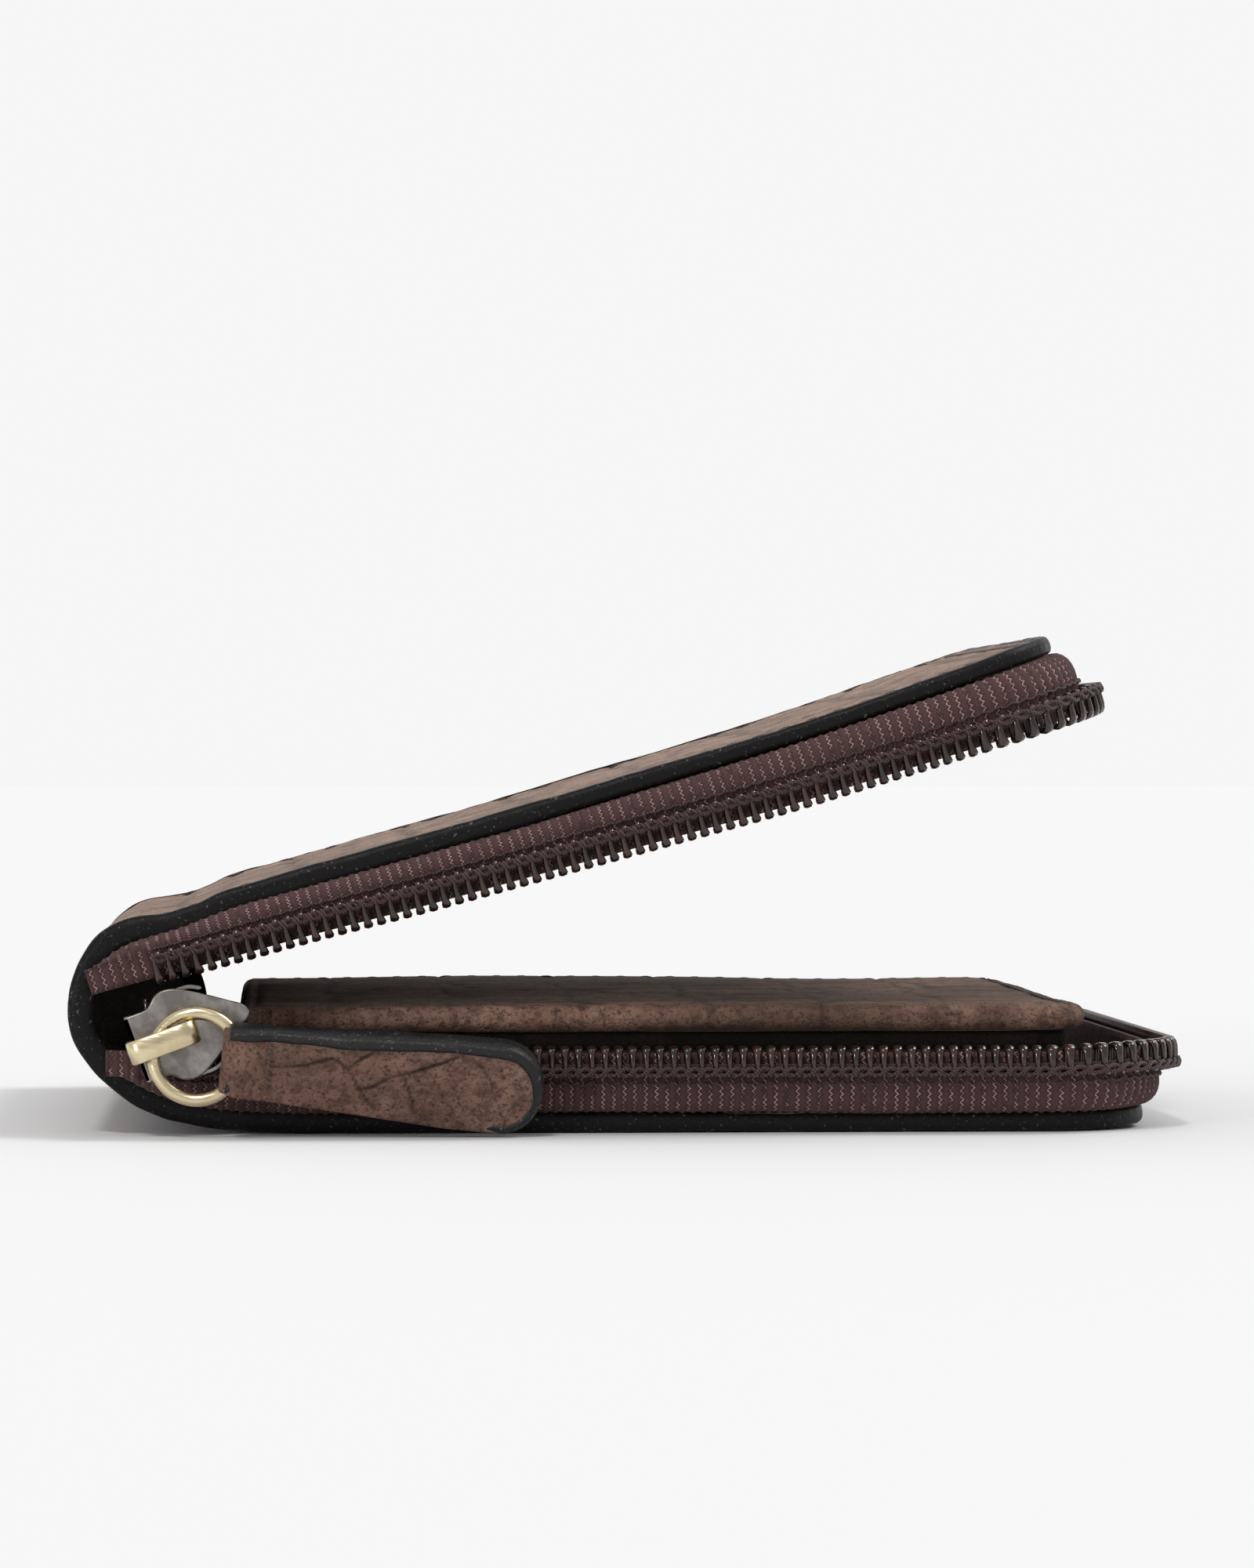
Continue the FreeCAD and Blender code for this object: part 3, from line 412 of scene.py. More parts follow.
def leather_material(name, dark, middle, light, sheen, creases=True):
    """Nubuck: mottled, darker in the embossed lines as painted shade, paler where it is rubbed."""
    m = Paint(name, Sheen_Weight=sheen, Sheen_Roughness=0.45, Sheen_Tint=(0.85, 0.68, 0.56, 1),
              Specular_IOR_Level=0.25)
    cloud = m.noise(170, 5, 0.65)
    patch = m.noise(45, 3, 0.55)
    speck = m.noise(2300, 2, 0.7)
    colour = m.mix(m.ramp(cloud, (0.38, 0.0), (0.66, 1.0)), middle, light)
    colour = m.mix(m.ramp(patch, (0.42, 0.0), (0.62, 0.75)), colour, dark)
    colour = m.mix(m.ramp(m.noise(620, 5, 0.75), (0.40, 0.7), (0.55, 0.0)), colour, dark)
    colour = m.mix(m.ramp(speck, (0.34, 0.8), (0.47, 0.0)), colour, [c * 0.6 for c in dark])
    pores = m.node("TexVoronoi", {"Vector": m.where(), "Scale": 2600.0})
    grain = m.noise(1500, 4, 0.7)
    height = m.mix(0.5, grain, m.ramp(pores, (0.0, 0.0), (0.5, 1.0)))
    if creases:
        # Painted shade: the colour falls towards a quarter of the dark tone along the groove marks, the
        # embossed lines and stitch channels.
        groove = m.node("Attribute", out=2, attribute_name="groove")
        groove_shade_mask = m.maths("ADD", groove, m.maths("MULTIPLY", m.maths("SUBTRACT", cloud, 0.5), 0.7))
        colour = m.mix(m.ramp(groove_shade_mask, (0.2, 0.0), (0.8, 0.92)), colour, [c * 0.25 for c in dark])
    rough = m.ramp(cloud, (0.2, 0.92), (0.8, 0.74))
    return m.finish(colour, rough, m.bump(height, 0.00016))


def build_materials():
    made = {}
    made["hide"] = leather_material(
        "nubuck_hide", (0.072, 0.040, 0.029), (0.225, 0.134, 0.099), (0.350, 0.230, 0.175), 0.30)
    made["inner"] = leather_material(
        "inner_nubuck", (0.058, 0.031, 0.022), (0.190, 0.104, 0.073), (0.300, 0.182, 0.131), 0.12)
    made["pull"] = leather_material(
        "pull_nubuck", (0.058, 0.031, 0.023), (0.160, 0.086, 0.063), (0.240, 0.143, 0.106), 0.06)
    # Near-black lining leather; the pocket leaves and the spine gusset also take it, as painted shade.
    made["lining"] = leather_material(
        "dark_lining_and_painted_shade", (0.006, 0.004, 0.003), (0.014, 0.009, 0.008), (0.024, 0.016, 0.014),
        0.03, creases=False)

    for key, gloss in (("edge", 0.10), ("pull_edge", 0.34)):
        m = Paint(key + "_paint", Coat_Weight=0.02, Coat_Roughness=0.3, Specular_IOR_Level=gloss)
        lumps, dust = m.noise(350, 3, 0.5), m.noise(2600, 2, 0.6)
        colour = m.mix(m.ramp(dust, (0.64, 0.0), (0.72, 0.6)), (0.009, 0.008, 0.008), (0.16, 0.15, 0.15))
        made[key] = m.finish(colour, m.ramp(lumps, (0.3, 0.34), (0.7, 0.5)),
                             m.bump(m.mix(0.25, lumps, dust), 0.0003))

    m = Paint("zipper_tape", Sheen_Weight=0.06, Sheen_Roughness=0.5,
              Sheen_Tint=(0.8, 0.6, 0.58, 1), Specular_IOR_Level=0.25)
    parts = m.node("SeparateXYZ", {0: m.where("UV")})
    split = parts.node
    along = m.maths("MULTIPLY", split.outputs[0], 1000 / RIB)
    up = m.maths("MULTIPLY", split.outputs[1], 1000 / 0.64)
    zigzag = m.maths("ABSOLUTE", m.maths("SUBTRACT", m.maths("FRACT", up), 0.5))
    shift = m.maths("SUBTRACT", m.maths("MULTIPLY", zigzag, 0.60), 0.15)
    across = m.maths("ABSOLUTE", m.maths("ADD", m.maths("SUBTRACT", m.maths("FRACT", along), 0.5), shift))
    fibre, fuzz = m.noise(3500, 2, 0.7), m.noise(900, 3, 0.6)
    colour = m.mix(fibre, (0.033, 0.016, 0.016), (0.110, 0.054, 0.053))
    # Painted shade: near black along the valleys between the ribs.
    colour = m.mix(m.ramp(across, (0.10, 0.9), (0.26, 0.0)), colour, (0.010, 0.004, 0.004))
    # Pale zigzag strokes mid-valley: threads of the weave, painted brighter as their glints (painted
    # highlight).
    stroke = m.maths("MULTIPLY", m.ramp(across, (0.05, 1.0), (0.12, 0.0)),
                     m.ramp(fuzz, (0.38, 0.15), (0.56, 1.0)))
    colour = m.mix(stroke, colour, (0.40, 0.25, 0.235))
    made["tape"] = m.finish(colour, m.ramp(fibre, (0.0, 0.75), (1.0, 0.95)),
                            m.bump(m.mix(0.4, stroke, fibre), 0.00012))

    m = Paint("zipper_coil", Coat_Weight=0.7, Coat_Roughness=0.06, Specular_IOR_Level=0.3)
    tint = m.noise(420, 2, 0.5)
    colour = m.mix(m.ramp(tint, (0.35, 0.0), (0.7, 1.0)), (0.010, 0.004, 0.003), (0.038, 0.013, 0.008))
    made["coil"] = m.finish(colour, m.ramp(tint, (0.2, 0.13), (0.8, 0.24)),
                            m.bump(m.noise(2400, 2, 0.6), 0.000004))

    for key, dark, pale in (("braid", (0.018, 0.008, 0.0075), (0.080, 0.037, 0.034)),
                            ("thread", (0.030, 0.018, 0.014), (0.10, 0.060, 0.045))):
        m = Paint(key + "_fibre", Sheen_Weight=0.2, Specular_IOR_Level=0.3)
        ply = m.node("TexWave", {"Vector": m.where(), "Scale": 1500.0, "Distortion": 3.0},
                     out=1, bands_direction="DIAGONAL")
        made[key] = m.finish(m.mix(ply, dark, pale), m.ramp(ply, (0, 0.85), (1, 0.65)),
                             m.bump(ply, 0.00006))

    m = Paint("antique_brass", Metallic=1.0)
    tarnish, brush = m.noise(260, 4, 0.6), m.noise(900, 2, 0.6, stretch=(0.2, 1, 5))
    colour = m.mix(m.ramp(tarnish, (0.38, 0.0), (0.75, 0.75)), (0.78, 0.67, 0.44), (0.46, 0.36, 0.21))
    made["brass"] = m.finish(colour, m.ramp(brush, (0.3, 0.22), (0.7, 0.36)), m.bump(brush, 0.00002))

    m = Paint("gunmetal", Metallic=1.0)
    wear, cast = m.noise(380, 4, 0.6), m.noise(1400, 3, 0.6)
    colour = m.mix(m.ramp(wear, (0.4, 0.0), (0.7, 1.0)), (0.20, 0.18, 0.165), (0.42, 0.39, 0.37))
    made["gunmetal"] = m.finish(colour, m.ramp(cast, (0.3, 0.26), (0.7, 0.42)), m.bump(cast, 0.000015))

    m = Paint("fibre_board")
    fibres = m.noise(700, 4, 0.7, stretch=(1, 1, 4))
    made["board"] = m.finish(m.mix(fibres, (0.10, 0.07, 0.05), (0.20, 0.15, 0.11)),
                             m.ramp(fibres, (0, 0.85), (1, 0.95)), m.bump(fibres, 0.0001))

    m = Paint("studio_white")
    mottle = m.noise(3, 2, 0.5)
    made["floor"] = m.finish(m.mix(mottle, (0.775, 0.775, 0.775), (0.785, 0.785, 0.785)),
                             m.ramp(mottle, (0, 0.9), (1, 0.95)))
    return made


LOOK = build_materials()


# --- soft layers ---------------------------------------------------------------------------

RIM = np.array([0, 0.03, 0.1, 0.22, 0.4, 0.7])  # rows this far from a cut edge draw its rounding
GRAIN_STEP = 0.62  # spacing of points on embossed leather
CHANNEL_WIDTH, CHANNEL_DEPTH = 0.42, 0.24  # dent that a stitch row pulls into the leather


def sheet_rows(length, step, corner):
    """Distances from the mouth end, closer together round the corners."""
    turn = corner * (1 - np.cos(np.linspace(0, math.pi / 2, 13)))
    rest = np.linspace(corner, length, max(2, round((length - corner) / step)) + 1)
    fine = np.arange(RIM[-1] + step, corner, step)
    rows = np.unique(np.round(np.concatenate([RIM, turn, fine, rest]), 4))
    keep = np.concatenate([[True], np.diff(rows) > 0.02])
    return rows[keep]


def layer(name, at, length, half_width, corner, low, high, step, material,
          rounding, marks=None, relief=0.0, open_end=False, seam=None):
    """Closed sheet lying between two depths. at(m, y, depth) gives the point, m being the
    distance from the mouth end. relief presses the embossing into its outer (low) side."""
    rows = sheet_rows(length, step, corner)
    ending = np.array([0.02, 0]) if open_end else RIM[::-1]
    rows = np.concatenate([rows[:-1], length - ending])
    middle = np.linspace(-1, 1, max(3, round(2 * half_width / step)))
    inside = np.clip(corner - rows, 0, corner)
    wide = half_width - corner + np.sqrt(np.maximum(corner ** 2 - inside ** 2, 0))
    cols = [np.concatenate([-w + RIM, middle[1:-1] * (w - RIM[-1]), w - RIM[::-1]]) for w in wide]
    y = np.stack(cols)
    m = np.repeat(rows[:, None], y.shape[1], 1)
    beyond = (m < corner) & (np.abs(y) > half_width - corner)
    to_edge = np.where(beyond,
                       corner - np.hypot(corner - m, np.abs(y) - half_width + corner),
                       np.minimum(m, half_width - np.abs(y)))
    if not open_end:
        to_edge = np.minimum(to_edge, length - m)
    drop = 1 - np.sqrt(1 - (1 - np.clip(to_edge / rounding, 0, 1)) ** 2)
    low_m, high_m = (f(m) if callable(f) else np.full(m.shape, f) for f in (low, high))
    centre, half_thick = (low_m + high_m) / 2, (high_m - low_m) / 2
    groove = marks(m, y) if marks else np.zeros(m.shape)
    groove = groove * (0.6 + 0.4 * np.clip(to_edge / (rounding + 0.8), 0, 1))
    press = relief * groove * np.clip(to_edge / 1.0 - 0.3, 0, 1) * np.clip((length - m) / 2, 0, 1)
    if seam:
        channel = np.exp(-((to_edge - seam) / CHANNEL_WIDTH) ** 2)
        press = press + CHANNEL_DEPTH * channel
        # The stitch channel joins the groove marks, so the leather darkens there as painted shade.
        groove = np.maximum(groove, 0.4 * channel)
    face = at(m, y, centre - half_thick * (1 - drop) + press)
    back = at(m, y, centre + half_thick * (1 - drop))
    return sheet_piece(name, face, back, m, y, groove, material)


# The hide's outer line in the XZ plane, from the middle of the spine towards each mouth end.
SPINE_LINE = [(-60.85, 13.2), (-60.85, 11.6), (-60.3, 9.4), (-58.6, 6.9), (-55.8, 4.2),
              (-52.4, 2.05), (-48.8, 0.95), (-44.0, 0.3), (-38.0, 0.02), (-30, 0), (0, 0),
              (30, 0), (42, 0.05), (47, 0.2), (50.7, 0.45)]
SHOULDER_LINE = [(-60.85, 13.2), (-60.6, 15.2), (-59.7, 17.6), (-58.0, 20.0), (-55.2, 21.75),
                 (-51.0, 22.5), (-47.8, 23.5), (-45.0, 24.75)]
LEATHER, THICK_FOLD = 1.15, 2.3  # hide alone, and hide with lining where it folds
COVER_SEAM, STITCH_GAP = 2.4, 2.9  # stitch row inside the edge, one stitch to the next


def hide_line(half):
    """Outer line of the hide from the middle of the spine to the mouth end."""
    if half == "lower":
        return smooth_line(SPINE_LINE)
    x = np.array([-36, -30, -23.3, -10.9, 1.65, 18.6, 31, 40, 48.5])
    end = np.stack(to_upper(x, smooth_table(COVER_BEND["upper"], x, 1.5)), 1)
    return smooth_line(SHOULDER_LINE + end.tolist())


def hide_frame(half):
    """Length of the hide's line, a function from distance and depth to X and Z, and one that
    gives the line's direction."""
    line = hide_line(half)
    run = run_along(line)
    ahead = unit(np.gradient(line, axis=0))
    inward = np.stack([-ahead[:, 1], ahead[:, 0]], 1)
    if half == "upper":
        inward = -inward
    total = run[-1]

    def at(m, depth):
        s = total - m
        return [np.interp(s, run, line[:, k]) + depth * np.interp(s, run, inward[:, k])
                for k in (0, 1)]

    def forward(m):
        s = total - m
        return np.interp(s, run, ahead[:, 0]), np.interp(s, run, ahead[:, 1])
    return total, at, forward


def fold_share(m):
    """0 on the flat cover, 1 at the fold and on the spine."""
    t = np.clip((m - 94) / 8, 0, 1)
    return t * t * (3 - 2 * t)


def bends(piece, half):
    """The piece's transform is baked into its mesh."""
    points = [(-44.0, 1.0), (-56.0, 8.0)]
    if half == "upper":
        points = [to_upper(*p) for p in points]
    if half == "lower":
        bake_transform(piece)
    else:
        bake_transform(piece)


def bend_with(half, piece, slot, *nodes):
    """The piece stands in for CAD nodes and has its transform baked in; slot is not used."""
    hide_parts(*nodes)
    bends(piece, half)


def make_hide(half):
    total, at, forward = hide_frame(half)
    seed = 3 if half == "lower" else 11

    def point(m, y, depth):
        x, z = at(m, depth)
        return np.stack([x, y, z], -1)

    def thickness(m):
        return LEATHER + (THICK_FOLD - LEATHER) * fold_share(m)

    def marks(m, y):
        return np.maximum(embossing(m, y, seed, width=0.7), cross_lines(m, y, 0.1, width=0.95))
    piece = layer(f"{half}_hide", point, total, WIDTH, CORNER, 0.0, thickness, GRAIN_STEP,
                  LOOK["hide"], rounding=0.45, relief=0.34, open_end=True, seam=COVER_SEAM,
                  marks=marks)
    nodes = [f"{half}_cover_leather"] + (["spine_leather", "spine_lining"] if half == "upper" else [])
    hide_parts(*nodes)
    bends(piece, half)
    make_bead(half, total, at, forward)
    make_cover_stitches(half, total, at)


def make_bead(half, total, at, forward):
    """Painted bead on the cut edge."""
    side = total - CORNER
    whole = run_length(side, MOUTH, CORNER)
    p = np.concatenate([[0, 0.02], np.arange(0.5, whole - 0.3, 0.55), [whole - 0.02, whole]])
    m, y, nx, ny = round_mouth(p, side, MOUTH, CORNER)
    thin = 1.9 if half == "lower" else 1.8
    thick = thin + (2.55 - thin) * np.clip((m - 40) / 55, 0, 1) ** 1.5
    calm = np.clip(np.minimum(p, whole - p) / 4, 0, 1)
    lumps = 1 + calm * (0.06 * waves(p, p * 0.3, 21, 1.6) + 0.07 * waves(p, p * 0.2, 22, 5))
    shape = [(-0.9, -1.0), (-0.35, -1.06), (0.08, -1.0), (0.32, -0.78), (0.44, -0.4), (0.47, 0.05),
             (0.43, 0.5), (0.28, 0.84), (0.0, 1.0), (-0.5, 1.0), (-0.9, 0.9)]
    sections = []
    fx, fz = forward(m)
    for out, level in shape:
        depth = thick / 2 + level * thick / 2 * lumps
        x, z = at(m, depth)
        out = out * lumps
        sections.append(np.stack([x + fx * nx * out, y + ny * out, z + fz * nx * out], -1))
    piece = swept_piece(f"{half}_edge_bead", [np.stack(sections, 1)], LOOK["edge"])
    nodes = [f"{half}_edge_paint"] + (["spine_edge_paint"] if half == "upper" else [])
    bend_with(half, piece, "edge_paint", *nodes)


def stitch_run(place_at, starts, length, radius, sides=6):
    """Short thread bars that dive in at both ends. place_at(p, rise) gives a point."""
    parts = []
    t = np.linspace(0, 1, 7)
    for start in starts:
        rise = 0.9 * radius * (1 - np.abs(2 * t - 1) ** 3) - 0.6 * radius
        parts.append(round_tube(place_at(start + t * length, rise),
                                radius * (0.55 + 0.45 * np.sin(math.pi * t)), sides))
    return parts


def make_cover_stitches(half, total, at):
    fold_clear = 14.0  # the row ends this far before the middle of the spine
    corner, side = CORNER - COVER_SEAM, total - fold_clear - CORNER

    def point(p, rise):
        m, y, _, _ = round_mouth(p, side, MOUTH, corner)
        x, z = at(COVER_SEAM + m, 0.2 - rise)
        return np.stack([x, y, z], -1)
    starts = np.arange(0, run_length(side, MOUTH, corner) - 2, STITCH_GAP)
    piece = swept_piece(f"{half}_cover_seam", stitch_run(point, starts, 2.2, 0.22), LOOK["thread"])
    fix_to(f"{half}_half", piece, "thread", f"{half}_cover_stitching")


# --- zipper --------------------------------------------------------------------------------

TAPE_LEFT, COIL_LEFT = -57.0, -50.4  # where the tape and the coil end at the spine
COIL_CENTRE, COIL_REACH = (3.1, 7.27), (0.74, 1.44)  # outward and in depth
CORD_CLEAR = 0.4  # the cord and the chain stitch stop this far before the coil's ends


def make_tape(half):
    length, spacing = outline_length(TAPE_LEFT), 0.62
    p = np.arange(0, length, RIB / 4)
    line = smooth_line([(-5.2, 1.98), (-2.0, 1.98), (0.1, 1.98), (1.0, 2.1), (1.8, 2.8),
                        (2.15, 3.8), (2.15, 4.8), (1.95, 5.8), (1.8, 7.0), (1.75, 8.2)], spacing)
    ahead = unit(np.gradient(line, axis=0))
    out = np.stack([ahead[:, 1], -ahead[:, 0]], 1)
    run = np.arange(len(line)) * spacing
    rib = np.cos(2 * math.pi * p / RIB)
    shown = np.clip((line[:, 0] + 0.6) / 1.0, 0, 1) * np.clip((8.3 - line[:, 1]) / 0.5, 0, 1)
    face, back = [], []
    for k in range(len(line)):
        raised = 0.11 * shown[k] * rib + 0.12 * shown[k] * waves(p, p * 0, 31, 9)
        for target, amount in ((face, raised), (back, np.full(p.shape, -0.42))):
            d = line[k, 0] + out[k, 0] * amount
            w = line[k, 1] + out[k, 1] * amount
            target.append(around(half, p, TAPE_LEFT, d, w))
    sections = np.stack(face + back[::-1], 1)
    up = np.concatenate([run, run[::-1]])
    uv = np.stack(np.broadcast_arrays(p[:, None], up[None, :]), -1).reshape(-1, 2) * MM
    piece = swept_piece(f"{half}_tape", [sections], LOOK["tape"], uv=uv)
    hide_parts(f"{half}_zipper_tape")
    bends(piece, half)


def coil_loop(t):
    """Middle line of the coil: distance out and depth, t being the count of turns."""
    angle = 2 * math.pi * t
    cosine, sine = np.cos(angle), np.sin(angle)
    d = COIL_CENTRE[0] - COIL_REACH[0] * np.sign(cosine) * np.abs(cosine) ** 0.5
    w = COIL_CENTRE[1] + COIL_REACH[1] * np.sign(sine) * np.abs(sine) ** 0.75
    return d, w


def make_coil(half):
    length = outline_length(COIL_LEFT)
    turns, steps, sides = int(length / COIL_PITCH), 16, 7
    t = np.arange(turns * steps + 1) / steps
    d, w = coil_loop(t)
    phase = t - np.floor(t)
    advance = np.floor(t) + np.clip((phase - 0.55) / 0.4, 0, 1)
    p = 0.5 + advance * COIL_PITCH
    head = np.clip((w - 7.5) / 1.2, 0, 1) ** 1.4
    wide, deep = 0.29 + 0.23 * head, 0.30 - 0.02 * head
    dn, wn = np.gradient(w), -np.gradient(d)
    size = np.hypot(dn, wn)
    dn, wn = dn / size, wn / size
    sections = []
    for angle in np.arange(sides) * 2 * math.pi / sides:
        sections.append(around(half, p + wide * math.cos(angle), COIL_LEFT,
                               d + dn * deep * math.sin(angle), w + wn * deep * math.sin(angle)))
    piece = swept_piece(f"{half}_coil", [np.stack(sections, 1)], LOOK["coil"])
    bend_with(half, piece, "zipper_coil", f"{half}_zipper_coil")


def make_filler_cord(half):
    p = np.arange(CORD_CLEAR, outline_length(COIL_LEFT) - CORD_CLEAR, 0.7)
    cord = round_tube(around(half, p, COIL_LEFT, 3.05, 6.7), 0.42)
    piece = swept_piece(f"{half}_filler_cord", [cord], LOOK["braid"])
    bend_with(half, piece, "zipper_thread", f"{half}_coil_cord")


def make_chain_stitch(half):
    """Two wavy threads over the coil's back, a knot at each turn and one thread along the tape."""
    parts, length = [], outline_length(COIL_LEFT)
    p = np.arange(CORD_CLEAR, length - CORD_CLEAR, COIL_PITCH / 8)
    turn, level = math.pi * (p - 0.5) / COIL_PITCH, 6.32
    for side in (-1, 1):
        w = level + side * 0.36 * np.sin(turn)
        d = 4.16 + 0.12 * side * np.cos(turn)
        parts.append(round_tube(around(half, p, COIL_LEFT, d, w), 0.19 + 0.04 * np.cos(turn) ** 4, 6))
    across = np.array([-0.3, -0.15, 0, 0.15, 0.3])
    for knot in np.arange(0.5, length - CORD_CLEAR, COIL_PITCH):
        centres = around(half, knot + 0.12 * across, COIL_LEFT, 4.3 - 0.7 * across ** 2,
                         level + across * 1.7)
        parts.append(round_tube(centres, [0.1, 0.16, 0.18, 0.16, 0.1], 6, up=(0.3, 0.8, 0.1)))
    low = 5.05 + 0.10 * np.cos(2 * turn)
    parts.append(round_tube(around(half, p, COIL_LEFT, 2.3, low), 0.14, 5))
    piece = swept_piece(f"{half}_chain_stitch", parts, LOOK["braid"])
    bend_with(half, piece, "zipper_thread", f"{half}_coil_stitching")


def make_gusset():
    """Tape that closes each end of the spine behind the zipper, in the near-black lining finish as
    painted shade deep in the spine.
    """
    low_total, low_at, _ = hide_frame("lower")
    high_total, high_at, _ = hide_frame("upper")
    m = np.linspace(101.5, low_total, 26)
    low = np.stack(low_at(m, THICK_FOLD - 0.3), 1)
    m = np.linspace(high_total, 99.0, 26)[1:]
    rim = np.vstack([low, np.stack(high_at(m, THICK_FOLD - 0.3), 1)])
    chord = rim[0] + (rim[-1] - rim[0]) * np.linspace(0, 1, len(rim))[:, None]
    chord[:, 0] += 1.0 + 3.0 * np.sin(np.linspace(0, math.pi, len(rim)))
    b = np.linspace(0, 1, 14)
    flat = rim[:, None] * (1 - b[None, :, None]) + chord[:, None] * b[None, :, None]
    rows, cols = flat.shape[:2]
    run = np.broadcast_to(np.linspace(0, 24, rows)[:, None], (rows, cols))
    ripple = 0.12 * np.cos(2 * math.pi * run / RIB)
    parts, faces, uvs, count = [], [], [], 0
    for side in (-1, 1):
        dip = 2.2 + 5.0 * np.sin(math.pi * b / 2)[None, :] + ripple
        front = np.stack([flat[..., 0], side * (WIDTH - dip), flat[..., 1]], -1)
        back = np.stack([flat[..., 0], side * (WIDTH - dip - 0.45), flat[..., 1]], -1)
        faces.append(closed_faces(rows, cols, count))
        parts += [front.reshape(-1, 3), back.reshape(-1, 3)]
        uv = np.stack([run, np.broadcast_to(b[None, :] * 8, run.shape)], -1).reshape(-1, 2) * MM
        uvs += [uv, uv]
        count += 2 * rows * cols
    # Painted shade: the tape is given the near-black lining finish instead of its own colour.
    piece = mesh_piece("spine_gusset", np.vstack(parts), np.vstack(faces), LOOK["lining"],
                       np.vstack(uvs))
    fix_to("spine", piece, "zipper_tape", "zipper_tape_end")


def make_chain_tail():
    """Last turns of both coils, folded in behind the slider."""
    parts = []
    d, w = coil_loop(np.arange(14) / 14)
    for k in range(2):
        for side in (-1, 1):
            x, z = turned(-49.9 - 1.05 * k + 0.5 * side + 0 * d, 10.1 + side * (w - 9.2),
                          (FOLD_X, FOLD_RISE), OPENING / 2)
            y = -(WIDTH + d - 2.4 - 0.5 * k ** 1.5)
            parts.append(round_tube(np.stack([x, y, z], 1), 0.3, 7, up=(1, 0, 0), closed=True))
    piece = swept_piece("chain_tail", parts, LOOK["coil"], closed=True)
    fix_to("spine", piece, "zipper_coil", "zipper_chain_end", "zipper_bottom_stop")


# --- panel and leaves ----------------------------------------------------------------------


def make_panel():
    """Turned-edge panel with its stitch row."""
    left, right, half_width, base, top = -43.6, 44.9, 43.5, 10.1, 12.9
    rounded, inset, end_clear = 7.0, 1.9, 1.0

    def marks(m, y):
        inner = np.clip((half_width - 3.2 - np.abs(y)) / 2, 0, 1)
        return np.maximum(cross_lines(m, y, 0.35), inner * embossing(m, y, 19, width=0.7))

    def at(m, y, depth):
        sag = 0.18 * waves(m, y, 41, 14)
        return np.stack([right - m, y + 0 * m, base + top - depth + sag], -1)
    piece = layer("lower_panel", at, right - left, half_width, rounded, base, top, GRAIN_STEP,
                  LOOK["inner"], rounding=1.45, relief=0.22, seam=inset, marks=marks)
    fix_to("lower_half", piece, "inner_leather", "lower_inner_panel")

    side, mouth = right - left - rounded - end_clear, 2 * (half_width - rounded)

    def point(p, rise):
        m, y, _, _ = round_mouth(p, side, mouth, rounded - inset)
        return at(inset + m, y, base + 0.2 - rise)
    starts = np.arange(0, run_length(side, mouth, rounded - inset) - 2, STITCH_GAP)
    seam = swept_piece("panel_seam", stitch_run(point, starts, 2.1, 0.2), LOOK["thread"])
    fix_to("lower_half", seam, "thread", "lower_panel_stitching")


def make_pocket_leaves():
    """Pocket base and leaves that hold the panel up, in the near-black lining finish as painted shade in
    the gap under the panel.
    """
    for name in ("base", "leaf_1", "leaf_2", "leaf_3"):
        node = f"lower_pocket_{name}"
        low, high = (np.array(c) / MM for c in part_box(node))
        right, left, wide, base, top = high[0], low[0], high[1], low[2], high[2]

        def at(m, y, depth):
            return np.stack([right - m, y + 0 * m, base + top - depth], -1)
        # Painted shade: the leaves are near black so the gap under the panel reads dark.
        piece = layer(f"{node}_skin", at, right - left, wide, 6.0, base, top, 1.6, LOOK["lining"],
                      rounding=0.7)
        fix_to("lower_half", piece, "inner_leather", node)


def make_card_leaves():
    """Leaves of the card pockets in the upper half, each a little further in than the last."""
    for i in range(3):
        inset, left, base, thick = 3.2 + 0.4 * i, -FLAT + 6 + 13 * i, 3.0 + i * 0.9, 0.85
        mouth, top = FLAT - inset, base + thick

        def at(m, y, depth):
            return place("upper", mouth - m, y, base + top - depth)

        def marks(m, y):
            return 0.5 * embossing(m, y, 23 + i)
        piece = layer(f"card_leaf_{i + 1}", at, mouth - left, WIDTH - inset, CORNER - inset,
                      base, top, 1.0, LOOK["inner"], rounding=0.4, relief=0.12, marks=marks)
        fix_to("upper_half", piece, "inner_leather", f"upper_card_leaf_{i + 1}")


# --- slider, bridge, ring, pull ------------------------------------------------------------

SLIDER, SLIDER_TILT = (-48.0, 10.75), 20.0
# Distances from the middle plane: back plate, front plate and the slider's outer face.
BACK_Y, BACK_THICK, THROAT, FRONT_THICK = WIDTH + 0.5, 0.75, 3.3, 1.0
FRONT_Y = BACK_Y + BACK_THICK + THROAT
FACE_Y = FRONT_Y + FRONT_THICK


def slider_point(x, z, y):
    """Row-frame point of the slider's own x and z, y being the distance towards the near side."""
    px, pz = turned(SLIDER[0] + np.asarray(x, float), SLIDER[1] + np.asarray(z, float),
                    SLIDER, SLIDER_TILT)
    return np.stack(np.broadcast_arrays(px, -np.asarray(y, float), pz), -1)


def plate(outline_points, y_low, y_high, bevel):
    """Bevelled plate with a smooth outline, as stacked loops closed by caps."""
    line = smooth_line(outline_points + outline_points[:1], 0.35)[:-1]
    middle = line.mean(0)
    ahead = unit(np.roll(line, -1, 0) - np.roll(line, 1, 0))
    out = np.stack([ahead[:, 1], -ahead[:, 0]], 1)
    if ((line - middle) * out).sum() < 0:
        out = -out
    loops = []
    for inward, level in ((1, 0), (0.4, 0), (0, 0.2), (0, 0.8), (0.3, 0.97), (1, 1)):
        inset = line - out * bevel * inward
        loops.append(slider_point(inset[:, 0], inset[:, 1], y_low + (y_high - y_low) * level))
    return np.stack(loops)


